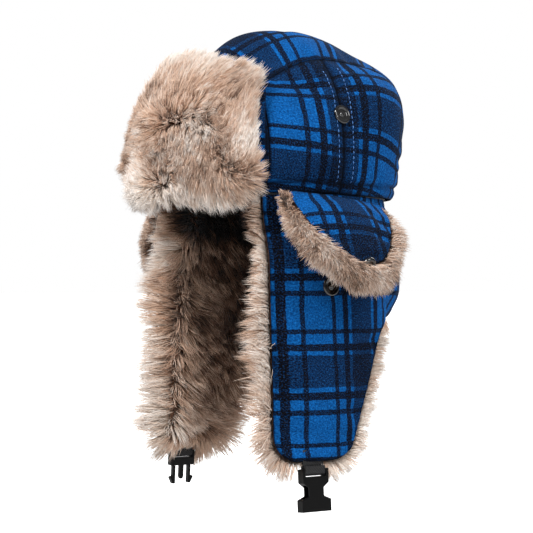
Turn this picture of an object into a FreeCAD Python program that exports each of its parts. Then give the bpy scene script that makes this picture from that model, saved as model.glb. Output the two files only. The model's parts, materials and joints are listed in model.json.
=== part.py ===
"""Trapper hat: quilted crown, fur lined flaps, turned-up fur visor, ear covers and a chin buckle.

Millimetres. +Z is up, the wearer faces -Y and the wearer's left is +X. The origin is the centre of
the head opening, level with the crown's lower seam. Fabric and fur are plain closed solids.
"""
import FreeCAD
import Part
import Sketcher
import os

SIZES = {
    # crown: one ellipsoid above its widest level and a flatter one below it
    "crown_half_width": 96,
    "crown_half_length": 118,
    "crown_rise": 117,
    "crown_tuck": 75,
    "widest_level": 30,
    "shell_cloth": 3,
    "plate_gap": 2.2,
    "crown_padding": 4.6,
    "crown_lining": 2,
    "layer_gap": 0.3,
    # side panels, in side view: an ellipse over an upright front and back edge
    "panel_front": 60,
    "panel_back": 105,
    "panel_rise": 87,
    "panel_inner_side": 20,
    "panel_arch_centre": 5,
    "side_seam_line": 7.6,
    "seam_gap": 0.4,
    "binding_thick": 1.4,
    "binding_proud": 2.5,
    # earflaps and neck curtain: bands of two ellipses in plan
    "skirt_half_width": 91,
    "skirt_half_length": 118,
    "skirt_top": 2,
    "padding_margin": 2,
    "flap_cloth": 4,
    "flap_padding": 2,
    "flap_half_length": 130,
    "flap_fur": 15,
    "fur_overhang": 7,
    "flap_front_top": 60,
    "flap_front_bottom": 64,
    "flap_drop": 224,
    "flap_rear_bottom": 4,
    "flap_rear_middle": 46,
    "flap_middle_drop": 125,
    "flap_corner": 21,
    "side_seam": 60,
    "neck_drop": 105,
    "flap_splay": 4,
    "neck_splay": 2,
    "flap_axis_side": 92,
    "neck_axis_back": 119,
    # visor
    "visor_half_width": 101,
    "visor_half_length": 122,
    "visor_rise": 132,
    "visor_cloth": 3,
    "visor_fur_side": 110,
    "visor_fur_front": 131,
    "visor_fur_rise": 146,
    "visor_end_side": 91,
    "visor_end_back": 65,
    "visor_top": 112,
    "visor_bottom": 8,
    "visor_top_corner": 58,
    "visor_low_corner": 14,
    # ear covers, in their own frame: fold line along Y, reach along Z, outside towards +X
    "cover_axis_side": 96.5,
    "cover_axis_drop": 6,
    "cover_tilt": 6,
    "cover_open": 40,
    "cover_half_width": 52,
    "cover_reach": 74,
    "cover_cloth": 4,
    "cover_root": 2,
    "cover_fur": 16,
    "cover_fur_margin": 11,
    "cover_wedge": 20,
    "cover_socket_hole": 8,
    # snap fasteners
    "stud_reach": 73,
    "socket_reach": 66,
    "snap_radius": 7.5,
    "flange_thick": 0.8,
    "stud_neck_radius": 2.6,
    "stud_neck": 2,
    "stud_head_radius": 3,
    "stud_head": 2,
    "post_radius": 2,
    "post_hole_radius": 2.2,
    "plate_radius": 6,
    "plate_thick": 1,
    "plate_drop": 0.7,
    "socket_thick": 3.2,
    "socket_bore_radius": 3.2,
    "socket_bore": 2.4,
    # chin strap ends: 20 mm webbing on a round bar
    "strap_centre": 30,
    "webbing_width": 20,
    "webbing_thick": 1.5,
    "strap_top": 227.6,
    "bar_level": 232.5,
    "bar_radius": 1.5,
    "loop_gap": 0.3,
    "strap_notch": 34,
    "notch_level": 222,
    # buckle halves, measured down from the bar
    "buckle_width": 29.5,
    "buckle_thick": 8,
    "buckle_shoulder": 26,
    "buckle_waist": 15,
    "buckle_length": 33,
    "buckle_head": 2.5,
    "slot_width": 20.8,
    "slot_depth": 4,
    "shoulder_level": 9,
    "waist_top": 13,
    "waist_bottom": 20,
    "mouth_level": 23,
    "cavity_half_width": 12.3,
    "cavity_thick": 5,
    "cavity_top": 11,
    "plug_width": 25,
    "plug_thick": 6.5,
    "plug_base": 11,
    "tongue_width": 4.4,
    "tongue_end": 24,
    "tongue_thick": 3.2,
    "tongue_nose": 2,
    "bar_seat": 1,
    "arm_inner": 7,
    "arm_width": 2.4,
    "arm_thick": 4.4,
    "arm_gap": 0.3,
    "arm_end": 28,
    "arrow_root": 21,
    "arrow_outer": 12,
    "arrow_barb": 0.5,
    "arrow_edge": 2,
}

SIDE_VIEW = FreeCAD.Rotation(FreeCAD.Vector(1, 1, 1), 120)
UP = FreeCAD.Vector(0, 0, 1)
LEFT = FreeCAD.Vector(1, 0, 0)
BACK = FreeCAD.Vector(0, 1, 0)
EDGE_MATCH = 0.01

doc = FreeCAD.newDocument("trapper_hat")
sheet = doc.addObject("Spreadsheet::Sheet", "Sizes")


def fill_sheet():
    for row, (alias, value) in enumerate(SIZES.items(), start=1):
        sheet.set("A%d" % row, alias)
        sheet.set("B%d" % row, str(value))
        sheet.setAlias("B%d" % row, alias)
    doc.recompute()


def size(text):
    """Value of an expression of sheet aliases, written without the sheet's name."""
    return float(sheet.evalExpression(text))


def bind(thing, **properties):
    """Bind each property to an expression of sheet aliases."""
    for name, text in properties.items():
        thing.setExpression(name.replace("__", "."), in_sheet(text))


def in_sheet(text):
    """The same expression as another object reads it, with the sheet's name before each alias."""
    words = []
    word = ""
    for letter in str(text) + " ":
        if letter.isalnum() or letter == "_":
            word += letter
            continue
        words.append("Sizes." + word if word in SIZES else word)
        words.append(letter)
        word = ""
    return "".join(words).strip()


def add(kind, label, **properties):
    thing = doc.addObject(kind, label)
    bind(thing, **properties)
    return thing


# ---------------------------------------------------------------- joining shapes

def cut(label, base, tool):
    thing = doc.addObject("Part::Cut", label)
    thing.Base = base
    thing.Tool = tool
    return thing


def common(label, base, tool):
    thing = doc.addObject("Part::Common", label)
    thing.Base = base
    thing.Tool = tool
    return thing


def join(label, *parts):
    thing = doc.addObject("Part::MultiFuse", label)
    thing.Shapes = list(parts)
    return thing


def group(label, *parts):
    """Separate solids of one node, such as a pair of identical fasteners."""
    thing = doc.addObject("Part::Compound", label)
    thing.Links = list(parts)
    return thing


def mirror(label, source):
    """The wearer's right-hand copy of a left-hand piece."""
    thing = doc.addObject("Part::Mirroring", label)
    thing.Source = source
    thing.Normal = LEFT
    return thing


def round_edges(label, base, direction, radius, chosen):
    """Fillet the straight edges along a direction whose middles the chosen test accepts."""
    doc.recompute()
    edges = []
    for number, edge in enumerate(base.Shape.Edges, start=1):
        if not isinstance(edge.Curve, Part.Line):
            continue
        if abs(abs(edge.Curve.Direction.dot(direction)) - 1) > EDGE_MATCH:
            continue
        if chosen(edge.CenterOfMass):
            edges.append((number, size(radius), size(radius)))
    thing = doc.addObject("Part::Fillet", label)
    thing.Base = base
    thing.Edges = edges
    return thing


# ---------------------------------------------------------------- outlines

def constrain_point(sketch, geometry, point, across, along):
    for kind, text in (("DistanceX", across), ("DistanceY", along)):
        constraint = Sketcher.Constraint(kind, -1, 1, geometry, point, size(text))
        index = sketch.addConstraint(constraint)
        sketch.setExpression("Constraints[%d]" % index, in_sheet(text))


def polygon(sketch, corners):
    """Closed outline whose corners are pairs of sheet expressions."""
    points = [FreeCAD.Vector(size(across), size(along), 0) for across, along in corners]
    count = len(points)
    first = sketch.GeometryCount
    for index, point in enumerate(points):
        sketch.addGeometry(Part.LineSegment(point, points[(index + 1) % count]))
    for index in range(count):
        following = first + (index + 1) % count
        sketch.addConstraint(Sketcher.Constraint("Coincident", first + index, 2, following, 1))
    for index, (across, along) in enumerate(corners):
        constrain_point(sketch, first + index, 1, across, along)
    return sketch


def circle(sketch, across, along, radius):
    centre = FreeCAD.Vector(size(across), size(along), 0)
    geometry = sketch.addGeometry(Part.Circle(centre, UP, size(radius)))
    constrain_point(sketch, geometry, 3, across, along)
    constraint = Sketcher.Constraint("Radius", geometry, size(radius))
    index = sketch.addConstraint(constraint)
    sketch.setExpression("Constraints[%d]" % index, in_sheet(radius))
    return sketch


def rectangle(sketch, low_across, high_across, low_along, high_along):
    return polygon(sketch, [(low_across, low_along), (high_across, low_along),
                            (high_across, high_along), (low_across, high_along)])


def side_view_prism(label, corners, start, length):
    """A side-view outline, across Y and up Z, drawn out along X."""
    sketch = doc.addObject("Sketcher::SketchObject", label + "_outline")
    sketch.Placement = FreeCAD.Placement(FreeCAD.Vector(), SIDE_VIEW)
    bind(sketch, Placement__Base__x=start)
    polygon(sketch, corners)
    prism = add("Part::Extrusion", label, LengthFwd=length)
    prism.Base = sketch
    prism.DirMode = "Custom"
    prism.Dir = LEFT
    prism.Solid = True
    return prism


def ellipse_column(label, half_width, half_length, bottom, height):
    """Upright column whose plan is an ellipse, longer from front to back."""
    plan = add("Part::Ellipse", label + "_plan", MajorRadius=half_length, MinorRadius=half_width)
    plan.Placement = FreeCAD.Placement(FreeCAD.Vector(), FreeCAD.Rotation(UP, 90))
    bind(plan, Placement__Base__z=bottom)
    column = add("Part::Extrusion", label, LengthFwd=height)
    column.Base = plan
    column.DirMode = "Custom"
    column.Dir = UP
    column.Solid = True
    return column


def box(label, low, high):
    """Box between two corners, each a triple of sheet expressions."""
    spans = ["(%s) - (%s)" % (top, bottom) for bottom, top in zip(low, high)]
    return add("Part::Box", label, Length=spans[0], Width=spans[1], Height=spans[2],
               Placement__Base__x=low[0], Placement__Base__y=low[1], Placement__Base__z=low[2])


def disc(label, radius, thick, level):
    """Round plate square to Z, with its lower face at the level."""
    return add("Part::Cylinder", label, Radius=radius, Height=thick, Placement__Base__z=level)


# ---------------------------------------------------------------- crown

def ellipsoid(label, half_width, half_length, half_height, low, high):
    """Segment of an ellipsoid on the crown's widest level, between two latitudes."""
    return add("Part::Ellipsoid", label, Radius1=half_height, Radius2=half_width,
               Radius3=half_length, Angle1=low, Angle2=high, Placement__Base__z="widest_level")


def dome(label, inset):
    """The crown's outer form made smaller all round by an inset."""
    across = "crown_half_width - (%s)" % inset
    along = "crown_half_length - (%s)" % inset
    tuck = "crown_tuck - (%s)" % inset
    upper = ellipsoid(label + "_upper", across, along, "crown_rise - (%s)" % inset, "0", "90")
    lower = ellipsoid(label + "_lower", across, along, tuck,
                      "-asin(widest_level / (%s))" % tuck, "0")
    return join(label, upper, lower)


def dome_shell(label, outer, inner):
    return cut(label, dome(label + "_outside", outer), dome(label + "_inside", inner))


def panel_prism(label, margin):
    """What a side panel covers in side view, on the wearer's left."""
    arch_plan = add("Part::Ellipse", label + "_arch_outline",
                    MajorRadius="panel_back - panel_arch_centre + (%s)" % margin,
                    MinorRadius="panel_rise + (%s)" % margin)
    arch_plan.Placement = FreeCAD.Placement(FreeCAD.Vector(), SIDE_VIEW)
    bind(arch_plan, Placement__Base__x="panel_inner_side",
         Placement__Base__y="panel_arch_centre", Placement__Base__z="widest_level")
    arch = add("Part::Extrusion", label + "_arch", LengthFwd="crown_half_width")
    arch.Base = arch_plan
    arch.DirMode = "Custom"
    arch.Dir = LEFT
    arch.Solid = True
    front = "-panel_front - (%s)" % margin
    back = "panel_back + (%s)" % margin
    outside = "panel_inner_side + crown_half_width"
    skirt = box(label + "_skirt", ("panel_inner_side", front, "-crown_tuck"),
                (outside, back, "widest_level"))
    limit = box(label + "_limit", ("panel_inner_side", front, "-crown_tuck"),
                (outside, back, "crown_rise + widest_level"))
    return common(label, join(label + "_whole", arch, skirt), limit)


def place_on_crown(piece):
    """Turn a piece's +Z to the crown's outward direction at the stud, and set it on the cloth."""
    height = size("stud_reach * cos(cover_tilt) - cover_axis_drop")
    back = size("stud_reach * sin(cover_tilt)")
    rise = (height - size("widest_level")) / size("crown_rise")
    reach = back / size("crown_half_length")
    side = size("crown_half_width") * (1 - rise ** 2 - reach ** 2) ** 0.5
    outward = FreeCAD.Vector(side / size("crown_half_width") ** 2,
                             back / size("crown_half_length") ** 2,
                             rise / size("crown_rise"))
    piece.Placement = FreeCAD.Placement(FreeCAD.Vector(side, back, height),
                                        FreeCAD.Rotation(UP, outward))
    return piece


def make_crown():
    """Five outer panels, the padding, the lining, the binding and the pair of studs."""
    shell = dome_shell("crown_shell", "0", "shell_cloth")
    side = common("crown_side_whole", shell, panel_prism("side_panel_area", "0"))
    hole = through_hole("crown_post_hole", "post_hole_radius", "2 * shell_cloth")
    drilled = cut("crown_side_drilled", side, place_on_crown(hole))
    sides = []
    for end, low, high in (("front", "-2 * crown_half_length", "side_seam_line - seam_gap / 2"),
                           ("rear", "side_seam_line + seam_gap / 2", "2 * crown_half_length")):
        keep = box("crown_%s_keep" % end, ("0", low, "-crown_tuck"),
                   ("2 * crown_half_width", high, "2 * crown_rise"))
        left_panel = common("crown_left_%s_panel" % end, drilled, keep)
        sides += [left_panel, mirror("crown_right_%s_panel" % end, left_panel)]
    left_room = panel_prism("side_panel_room", "seam_gap")
    right_room = mirror("side_panel_room_right", left_room)
    centre = cut("crown_centre_panel", shell, join("side_panel_rooms", left_room, right_room))

    padding_out = "shell_cloth + plate_gap"
    padding_in = padding_out + " + crown_padding"
    lining_out = padding_in + " + layer_gap"
    padding = dome_shell("crown_padding", padding_out, padding_in)
    lining = dome_shell("crown_lining", lining_out, lining_out + " + crown_lining")

    tuck = "sqrt(1 - (widest_level / crown_tuck) ^ 2)"
    half_width = "crown_half_width * %s" % tuck
    half_length = "crown_half_length * %s" % tuck
    level = "-binding_thick - (skirt_top - binding_thick) / 2"
    outside = ellipse_column("binding_outside", half_width + " + binding_proud",
                             half_length + " + binding_proud", level, "binding_thick")
    inside = ellipse_column("binding_inside", half_width + " - binding_proud",
                            half_length + " - binding_proud", level, "binding_thick")
    binding = cut("opening_binding", outside, inside)

    left_stud = place_on_crown(snap_stud("crown_stud_left", "shell_cloth"))
    left_plate = place_on_crown(back_plate("crown_plate_left", "shell_cloth"))
    studs = group("crown_snap_studs", left_stud, mirror("crown_stud_right", left_stud))
    plates = group("crown_snap_plates", left_plate, mirror("crown_plate_right", left_plate))
    return sides + [centre, padding, lining, binding, studs, plates]


# ---------------------------------------------------------------- snap fasteners

def snap_stud(label, cloth):
    """Flange on the cloth, a waisted head above it and a post down through the cloth."""
    lift = "layer_gap"
    flange = disc(label + "_flange", "snap_radius", "flange_thick", lift)
    neck = disc(label + "_neck", "stud_neck_radius", "stud_neck", lift + " + flange_thick")
    head = disc(label + "_head", "stud_head_radius", "stud_head",
                lift + " + flange_thick + stud_neck")
    post = disc(label + "_post", "post_radius", "%s + plate_drop + layer_gap" % cloth,
                "-(%s) - plate_drop" % cloth)
    return join(label, flange, neck, head, post)


def back_plate(label, cloth):
    """Riveted plate under the cloth, inside a wrapper that takes the placement."""
    plate = disc(label + "_disc", "plate_radius", "plate_thick",
                 "-(%s) - plate_drop - plate_thick" % cloth)
    return group(label, plate)


def through_hole(label, radius, depth):
    """Tool that cuts a round hole from well outside a cloth to a depth below its face."""
    tool = disc(label + "_disc", radius, "2 * (%s)" % depth, "-(%s)" % depth)
    return group(label, tool)


def snap_socket(label, cloth):
    """Socket ring on the cloth with a blind bore for a stud's head, and its post."""
    ring = disc(label + "_ring", "snap_radius", "socket_thick", "layer_gap")
    bore = disc(label + "_bore", "socket_bore_radius", "socket_bore + layer_gap",
                "socket_thick - socket_bore + layer_gap")
    post = disc(label + "_post", "post_radius", "%s + plate_drop + layer_gap" % cloth,
                "-(%s) - plate_drop" % cloth)
    return cut(label, join(label + "_whole", ring, post), bore)


# ---------------------------------------------------------------- flaps

def skirt_ring(label, half_length, outer, inner, bottom):
    """Upright band of an ellipse between two insets, from the top seam down."""
    height = "(%s) - skirt_top" % bottom
    outside = ellipse_column(label + "_outside", "skirt_half_width - (%s)" % outer,
                             "%s - (%s)" % (half_length, outer), "-(%s)" % bottom, height)
    inside = ellipse_column(label + "_inside", "skirt_half_width - (%s)" % inner,
                            "%s - (%s)" % (half_length, inner), "-(%s)" % bottom, height)
    return cut(label, outside, inside)


def flap_area(label, margin):
    """Side view of an earflap with a margin on its free edges and rounded lower corners."""
    bottom = "-flap_drop - (%s)" % margin
    front = "-flap_front_bottom - (%s)" % margin
    rear = "flap_rear_bottom + (%s)" % margin
    middle = "flap_rear_middle + (%s)" % margin
    seam = "side_seam - seam_gap"
    corners = [("-flap_front_top - (%s)" % margin, "-skirt_top"), (front, bottom),
               (rear, bottom), (middle, "-flap_middle_drop"), (seam, "-neck_drop"),
               (seam, "-skirt_top")]
    prism = side_view_prism(label + "_sharp", corners, "0", "2 * skirt_half_width")

    def at_hem(point):
        return abs(point.z - size(bottom)) < EDGE_MATCH
    return round_edges(label, prism, LEFT, "flap_corner", at_hem)


def splay_flap(piece):
    """Lean a hanging left earflap piece outward about the flap's fold line."""
    axis = FreeCAD.Vector(size("flap_axis_side"), 0, 0)
    turn = FreeCAD.Rotation(BACK, -size("flap_splay"))
    lean = FreeCAD.Placement(FreeCAD.Vector(), turn, axis)
    piece.Placement = lean.multiply(piece.Placement)
    return piece


def flap_stud_place(piece):
    """Turn a piece's +Z outward and set it on the left earflap's cloth."""
    back = size("-stud_reach * sin(cover_tilt)")
    height = size("-stud_reach * cos(cover_tilt) - cover_axis_drop")
    spot = FreeCAD.Vector(size("skirt_half_width"), back, height)
    piece.Placement = FreeCAD.Placement(spot, FreeCAD.Rotation(UP, LEFT))
    return piece


def make_left_earflap():
    """Outer shell, padding, fur lining, and the stud for a mask with its back plate."""
    hole = flap_stud_place(through_hole("flap_post_hole", "post_hole_radius", "2 * flap_cloth"))
    shell_ring = skirt_ring("flap_shell_ring", "flap_half_length", "0", "flap_cloth", "flap_drop")
    shell_whole = common("flap_shell_whole", shell_ring, flap_area("flap_shell_area", "0"))
    shell = cut("left_flap_shell", shell_whole, hole)

    padding_out = "flap_cloth + plate_gap"
    padding_in = padding_out + " + flap_padding"
    padding_ring = skirt_ring("flap_padding_ring", "flap_half_length", padding_out, padding_in,
                              "flap_drop")
    padding = common("left_flap_padding", padding_ring, flap_area("flap_padding_area", "-padding_margin"))

    fur_out = padding_in + " + layer_gap"
    fur_ring = skirt_ring("flap_fur_ring", "flap_half_length", fur_out, fur_out + " + flap_fur",
                          "flap_drop + fur_overhang")
    fur_whole = common("flap_fur_whole", fur_ring, flap_area("flap_fur_area", "fur_overhang"))
    notch = box("strap_notch_box",
                ("0", "-strap_centre - strap_notch / 2", "-2 * flap_drop"),
                ("2 * skirt_half_width", "-strap_centre + strap_notch / 2", "-notch_level"))
    fur = cut("left_flap_fur", fur_whole, notch)

    stud = flap_stud_place(snap_stud("left_flap_snap_stud", "flap_cloth"))
    plate = flap_stud_place(back_plate("left_flap_snap_plate", "flap_cloth"))
    return [splay_flap(piece) for piece in (shell, padding, fur, stud, plate)]


def make_neck_flap():
    """Curtain round the nape, between the two side seams, leaning out a little."""
    front = "side_seam + seam_gap"
    axis = FreeCAD.Vector(0, size("neck_axis_back"), 0)
    lean = FreeCAD.Placement(FreeCAD.Vector(), FreeCAD.Rotation(LEFT, size("neck_splay")), axis)
    padding_out = "flap_cloth + layer_gap"
    fur_out = padding_out + " + flap_padding + layer_gap"
    layers = [("neck_shell", "0", "flap_cloth", "neck_drop"),
              ("neck_padding", padding_out, padding_out + " + flap_padding", "neck_drop - padding_margin"),
              ("neck_fur", fur_out, fur_out + " + flap_fur", "neck_drop + fur_overhang")]
    pieces = []
    for label, outer, inner, bottom in layers:
        ring = skirt_ring(label + "_ring", "skirt_half_length", outer, inner, bottom)
        half = box(label + "_half", ("-2 * skirt_half_width", front, "-2 * neck_drop"),
                   ("2 * skirt_half_width", "2 * skirt_half_length", "0"))
        piece = common(label, ring, half)
        piece.Placement = lean
        pieces.append(piece)
    return pieces


# ---------------------------------------------------------------- visor

def visor_block(label):
    """Front view of the visor, drawn out along Y, with rounded corners."""
    block = box(label + "_sharp", ("-visor_end_side", "-2 * visor_fur_front", "-visor_bottom"),
                ("visor_end_side", "-visor_end_back", "visor_top"))

    def at_top(point):
        return abs(point.z - size("visor_top")) < EDGE_MATCH

    def at_bottom(point):
        return abs(point.z + size("visor_bottom")) < EDGE_MATCH
    topped = round_edges(label + "_topped", block, BACK, "visor_top_corner", at_top)
    return round_edges(label, topped, BACK, "visor_low_corner", at_bottom)


def make_visor():
    """Cloth backing next to the crown and the fur on its front."""
    inner = ellipsoid("visor_inner", "visor_half_width", "visor_half_length", "visor_rise",
                      "-90", "90")
    middle = ellipsoid("visor_middle", "visor_half_width + visor_cloth",
                       "visor_half_length + visor_cloth", "visor_rise + visor_cloth", "-90", "90")
    root = ellipsoid("visor_fur_root", "visor_half_width + visor_cloth + layer_gap",
                     "visor_half_length + visor_cloth + layer_gap",
                     "visor_rise + visor_cloth + layer_gap", "-90", "90")
    outer = ellipsoid("visor_outer", "visor_fur_side", "visor_fur_front", "visor_fur_rise",
                      "-90", "90")
    backing = common("visor_backing", cut("visor_backing_shell", middle, inner),
                     visor_block("visor_backing_block"))
    fur = common("visor_fur", cut("visor_fur_shell", outer, root), visor_block("visor_fur_block"))
    return [backing, fur]


# ---------------------------------------------------------------- ear covers

def half_moon(label, half_width, reach, start, thick):
    """Half an ellipse hanging below the fold line, drawn out from a level along X."""
    plan = add("Part::Ellipse", label + "_outline", MajorRadius=reach, MinorRadius=half_width)
    plan.Placement = FreeCAD.Placement(FreeCAD.Vector(), FreeCAD.Rotation(BACK, 90))
    bind(plan, Placement__Base__x=start)
    moon = add("Part::Extrusion", label + "_whole", LengthFwd=thick)
    moon.Base = plan
    moon.DirMode = "Custom"
    moon.Dir = LEFT
    moon.Solid = True
    low = "-2 * cover_reach"
    keep = box(label + "_keep", (low, low, low), ("-(%s)" % low, "-(%s)" % low, "-cover_root"))
    return common(label, moon, keep)


def open_cover(piece):
    """Move an ear cover piece from its own frame to its open place on the left side."""
    fold = FreeCAD.Placement(FreeCAD.Vector(), FreeCAD.Rotation(BACK, -size("cover_open")))
    tilt = FreeCAD.Placement(
        FreeCAD.Vector(size("cover_axis_side"), 0, -size("cover_axis_drop")),
        FreeCAD.Rotation(LEFT, -size("cover_tilt")))
    piece.Placement = tilt.multiply(fold).multiply(piece.Placement)
    return piece


def socket_place(piece):
    spot = FreeCAD.Vector(size("cover_cloth"), 0, -size("socket_reach"))
    piece.Placement = FreeCAD.Placement(spot, FreeCAD.Rotation(UP, LEFT))
    return piece


def make_left_ear_cover():
    """Cloth half-moon, a fur wedge behind it, and the snap socket near its tip."""
    hole = socket_place(through_hole("cover_post_hole", "post_hole_radius", "2 * cover_cloth"))
    cloth = half_moon("cover_cloth_moon", "cover_half_width", "cover_reach", "0", "cover_cloth")
    shell = cut("left_cover_shell", cloth, hole)

    moon = half_moon("cover_fur_moon", "cover_half_width + cover_fur_margin",
                     "cover_reach + cover_fur_margin", "-cover_fur", "cover_fur - layer_gap")
    low = "-3 * cover_reach"
    beyond = box("cover_slope_box", (low, low, low), ("0", "-(%s)" % low, "0"))
    slope = group("cover_slope", beyond)
    slope.Placement = FreeCAD.Placement(FreeCAD.Vector(),
                                        FreeCAD.Rotation(BACK, size("cover_wedge")))
    wedge = cut("cover_fur_wedge", moon, slope)
    room = socket_place(through_hole("cover_socket_room", "cover_socket_hole",
                                     "cover_cloth + 2 * cover_fur"))
    fur = cut("left_cover_fur", wedge, room)

    socket = socket_place(snap_socket("left_cover_snap_socket", "cover_cloth"))
    plate = socket_place(back_plate("left_cover_snap_plate", "cover_cloth"))
    return [open_cover(piece) for piece in (shell, fur, socket, plate)]


# ---------------------------------------------------------------- straps and buckle

def hang_from_hem(piece):
    """Hang a piece, drawn about the buckle bar, below the left earflap's hem."""
    across = size("strap_centre / flap_half_length")
    side = size("skirt_half_width") * (1 - across ** 2) ** 0.5 - size("flap_cloth") / 2
    spot = FreeCAD.Vector(side, -size("strap_centre"), -size("bar_level"))
    piece.Placement = FreeCAD.Placement(spot, FreeCAD.Rotation()).multiply(piece.Placement)
    return splay_flap(piece)


def webbing_loop(label, radius, top):
    """Round-ended upright block, across the webbing's width, about the bar."""
    half_width = "webbing_width / 2"
    round_end = add("Part::Cylinder", label + "_round", Radius=radius, Height="webbing_width")
    round_end.Placement = FreeCAD.Placement(FreeCAD.Vector(), FreeCAD.Rotation(LEFT, -90))
    bind(round_end, Placement__Base__y="-" + half_width)
    legs = box(label + "_legs", ("-(%s)" % radius, "-" + half_width, "0"), (radius, half_width, top))
    return join(label, round_end, legs)


def make_left_strap():
    """Webbing folded round the bar, its two legs closed at the hem."""
    inner = "bar_radius + loop_gap"
    outer = inner + " + webbing_thick"
    top = "bar_level - strap_top"
    outside = webbing_loop("strap_outside", outer, top)
    inside = webbing_loop("strap_inside", inner, top + " - webbing_thick")
    return hang_from_hem(cut("left_strap_webbing", outside, inside))


def body_sketch(body, label, plane):
    """New sketch on one of the body's own origin planes."""
    sketch = body.newObject("Sketcher::SketchObject", label)
    support = [face for face in body.Origin.OriginFeatures if face.Role == plane][0]
    sketch.AttachmentSupport = [(support, "")]
    sketch.MapMode = "FlatFace"
    return sketch


def pad(body, label, sketch, length):
    """Pad half the length to each side of the sketch."""
    feature = body.newObject("PartDesign::Pad", label)
    feature.Profile = sketch
    feature.SideType = "Symmetric"
    bind(feature, Length=length)
    sketch.Visibility = False
    return feature


def pocket_through(body, label, sketch):
    feature = body.newObject("PartDesign::Pocket", label)
    feature.Profile = sketch
    feature.SideType = "Symmetric"
    bind(feature, Length="2 * buckle_width")
    return feature


def bar_and_slot(body, label):
    """Clear the webbing's slot and put the round bar across it."""
    slot = body_sketch(body, label + "_slot_sketch", "YZ_Plane")
    rectangle(slot, "-slot_width / 2", "slot_width / 2", "-slot_depth", "2 * buckle_head")
    pocket_through(body, label + "_slot", slot)
    ring = body_sketch(body, label + "_bar_sketch", "XZ_Plane")
    circle(ring, "0", "0", "bar_radius")
    pad(body, label + "_bar", ring, "slot_width + 2 * bar_seat")


def make_buckle_socket():
    """Waisted socket half: slot and bar on top, hollow mouth below, open at its sides."""
    body = doc.addObject("PartDesign::Body", "buckle_socket")
    outline = body_sketch(body, "socket_outline", "YZ_Plane")
    steps = [("buckle_shoulder / 2", "buckle_head"), ("buckle_shoulder / 2", "-shoulder_level"),
             ("buckle_waist / 2", "-waist_top"), ("buckle_waist / 2", "-waist_bottom"),
             ("buckle_width / 2", "-mouth_level"), ("buckle_width / 2", "-buckle_length")]
    far_side = [("-" + across, along) for across, along in reversed(steps)]
    polygon(outline, steps + far_side)
    pad(body, "socket_body", outline, "buckle_thick")
    cavity = body_sketch(body, "socket_cavity_outline", "YZ_Plane")
    rectangle(cavity, "-cavity_half_width", "cavity_half_width", "-2 * buckle_length",
              "-cavity_top")
    hollow = pocket_through(body, "socket_cavity", cavity)
    bind(hollow, Length="cavity_thick")
    bar_and_slot(body, "socket")
    doc.recompute()
    return hang_from_hem(body)


def make_buckle_plug():
    """Plug half: slot and bar on top, a base, and the guide tongue in the middle."""
    body = doc.addObject("PartDesign::Body", "buckle_plug")
    outline = body_sketch(body, "plug_outline", "YZ_Plane")
    rectangle(outline, "-plug_width / 2", "plug_width / 2", "-plug_base", "buckle_head")
    pad(body, "plug_body", outline, "plug_thick")
    tongue = body_sketch(body, "plug_tongue_outline", "YZ_Plane")
    root = "-plug_base + bar_seat"
    shoulder = "-tongue_end + tongue_nose"
    polygon(tongue, [("-tongue_width / 2", root), ("tongue_width / 2", root),
                     ("tongue_width / 2", shoulder), ("tongue_width / 4", "-tongue_end"),
                     ("-tongue_width / 4", "-tongue_end"), ("-tongue_width / 2", shoulder)])
    pad(body, "plug_tongue", tongue, "tongue_thick")
    bar_and_slot(body, "plug")
    doc.recompute()
    return hang_from_hem(body)


def make_buckle_arm():
    """One spring arm of the plug, with an arrow head on its outer side."""
    body = doc.addObject("PartDesign::Body", "arm_rear_source")
    outline = body_sketch(body, "arm_outline", "YZ_Plane")
    outer = "arm_inner + arm_width"
    polygon(outline, [("arm_inner", "-plug_base - arm_gap"), (outer, "-plug_base - arm_gap"),
                      (outer, "-arrow_root"), ("arrow_outer", "-arrow_root - arrow_barb"),
                      ("arrow_outer", "-arrow_root - arrow_edge"), (outer, "-arm_end"),
                      ("arm_inner", "-arm_end")])
    pad(body, "arm_body", outline, "arm_thick")
    doc.recompute()
    return body


def make_buckle_arms():
    """The arm behind the tongue and its twin in front, both on the wearer's right."""
    source = make_buckle_arm()
    twin = doc.addObject("Part::Mirroring", "arm_front_source")
    twin.Source = source
    twin.Normal = BACK
    pieces = []
    for label, arm in (("buckle_arm_rear", source), ("buckle_arm_front", twin)):
        hanger = group(label + "_hung", arm)
        hang_from_hem(hanger)
        pieces.append(mirror(label, hanger))
    return pieces


# ---------------------------------------------------------------- the whole hat

def make_hat():
    left_flap = make_left_earflap()
    left_cover = make_left_ear_cover()
    left_strap = make_left_strap()
    plug = make_buckle_plug()
    plug.Label = "plug_source"
    right_plug = mirror("buckle_plug_right", plug)
    right_plug.Label = "buckle_plug"
    pieces = make_crown() + make_visor() + make_neck_flap()
    for piece in left_flap + left_cover + [left_strap]:
        pieces.append(piece)
        pieces.append(mirror(piece.Label.replace("left_", "right_"), piece))
    return pieces + [make_buckle_socket(), right_plug] + make_buckle_arms()


def check(pieces):
    doc.recompute()
    for thing in doc.Objects:
        if "Invalid" in thing.State or "Error" in thing.State:
            raise RuntimeError("%s did not recompute: %s" % (thing.Label, thing.State))
    for piece in pieces:
        if piece.Shape.isNull() or not piece.Shape.isValid() or not piece.Shape.Solids:
            raise RuntimeError("%s has no valid solid" % piece.Label)


def write(pieces):
    os.makedirs("parts", exist_ok=True)
    for piece in pieces:
        piece.Shape.exportStep("parts/%s.step" % piece.Label)
        print("%-26s %d solid(s) %10.1f mm3" % (piece.Label, len(piece.Shape.Solids),
                                                piece.Shape.Volume))


fill_sheet()
hat = make_hat()
check(hat)
write(hat)
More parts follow.
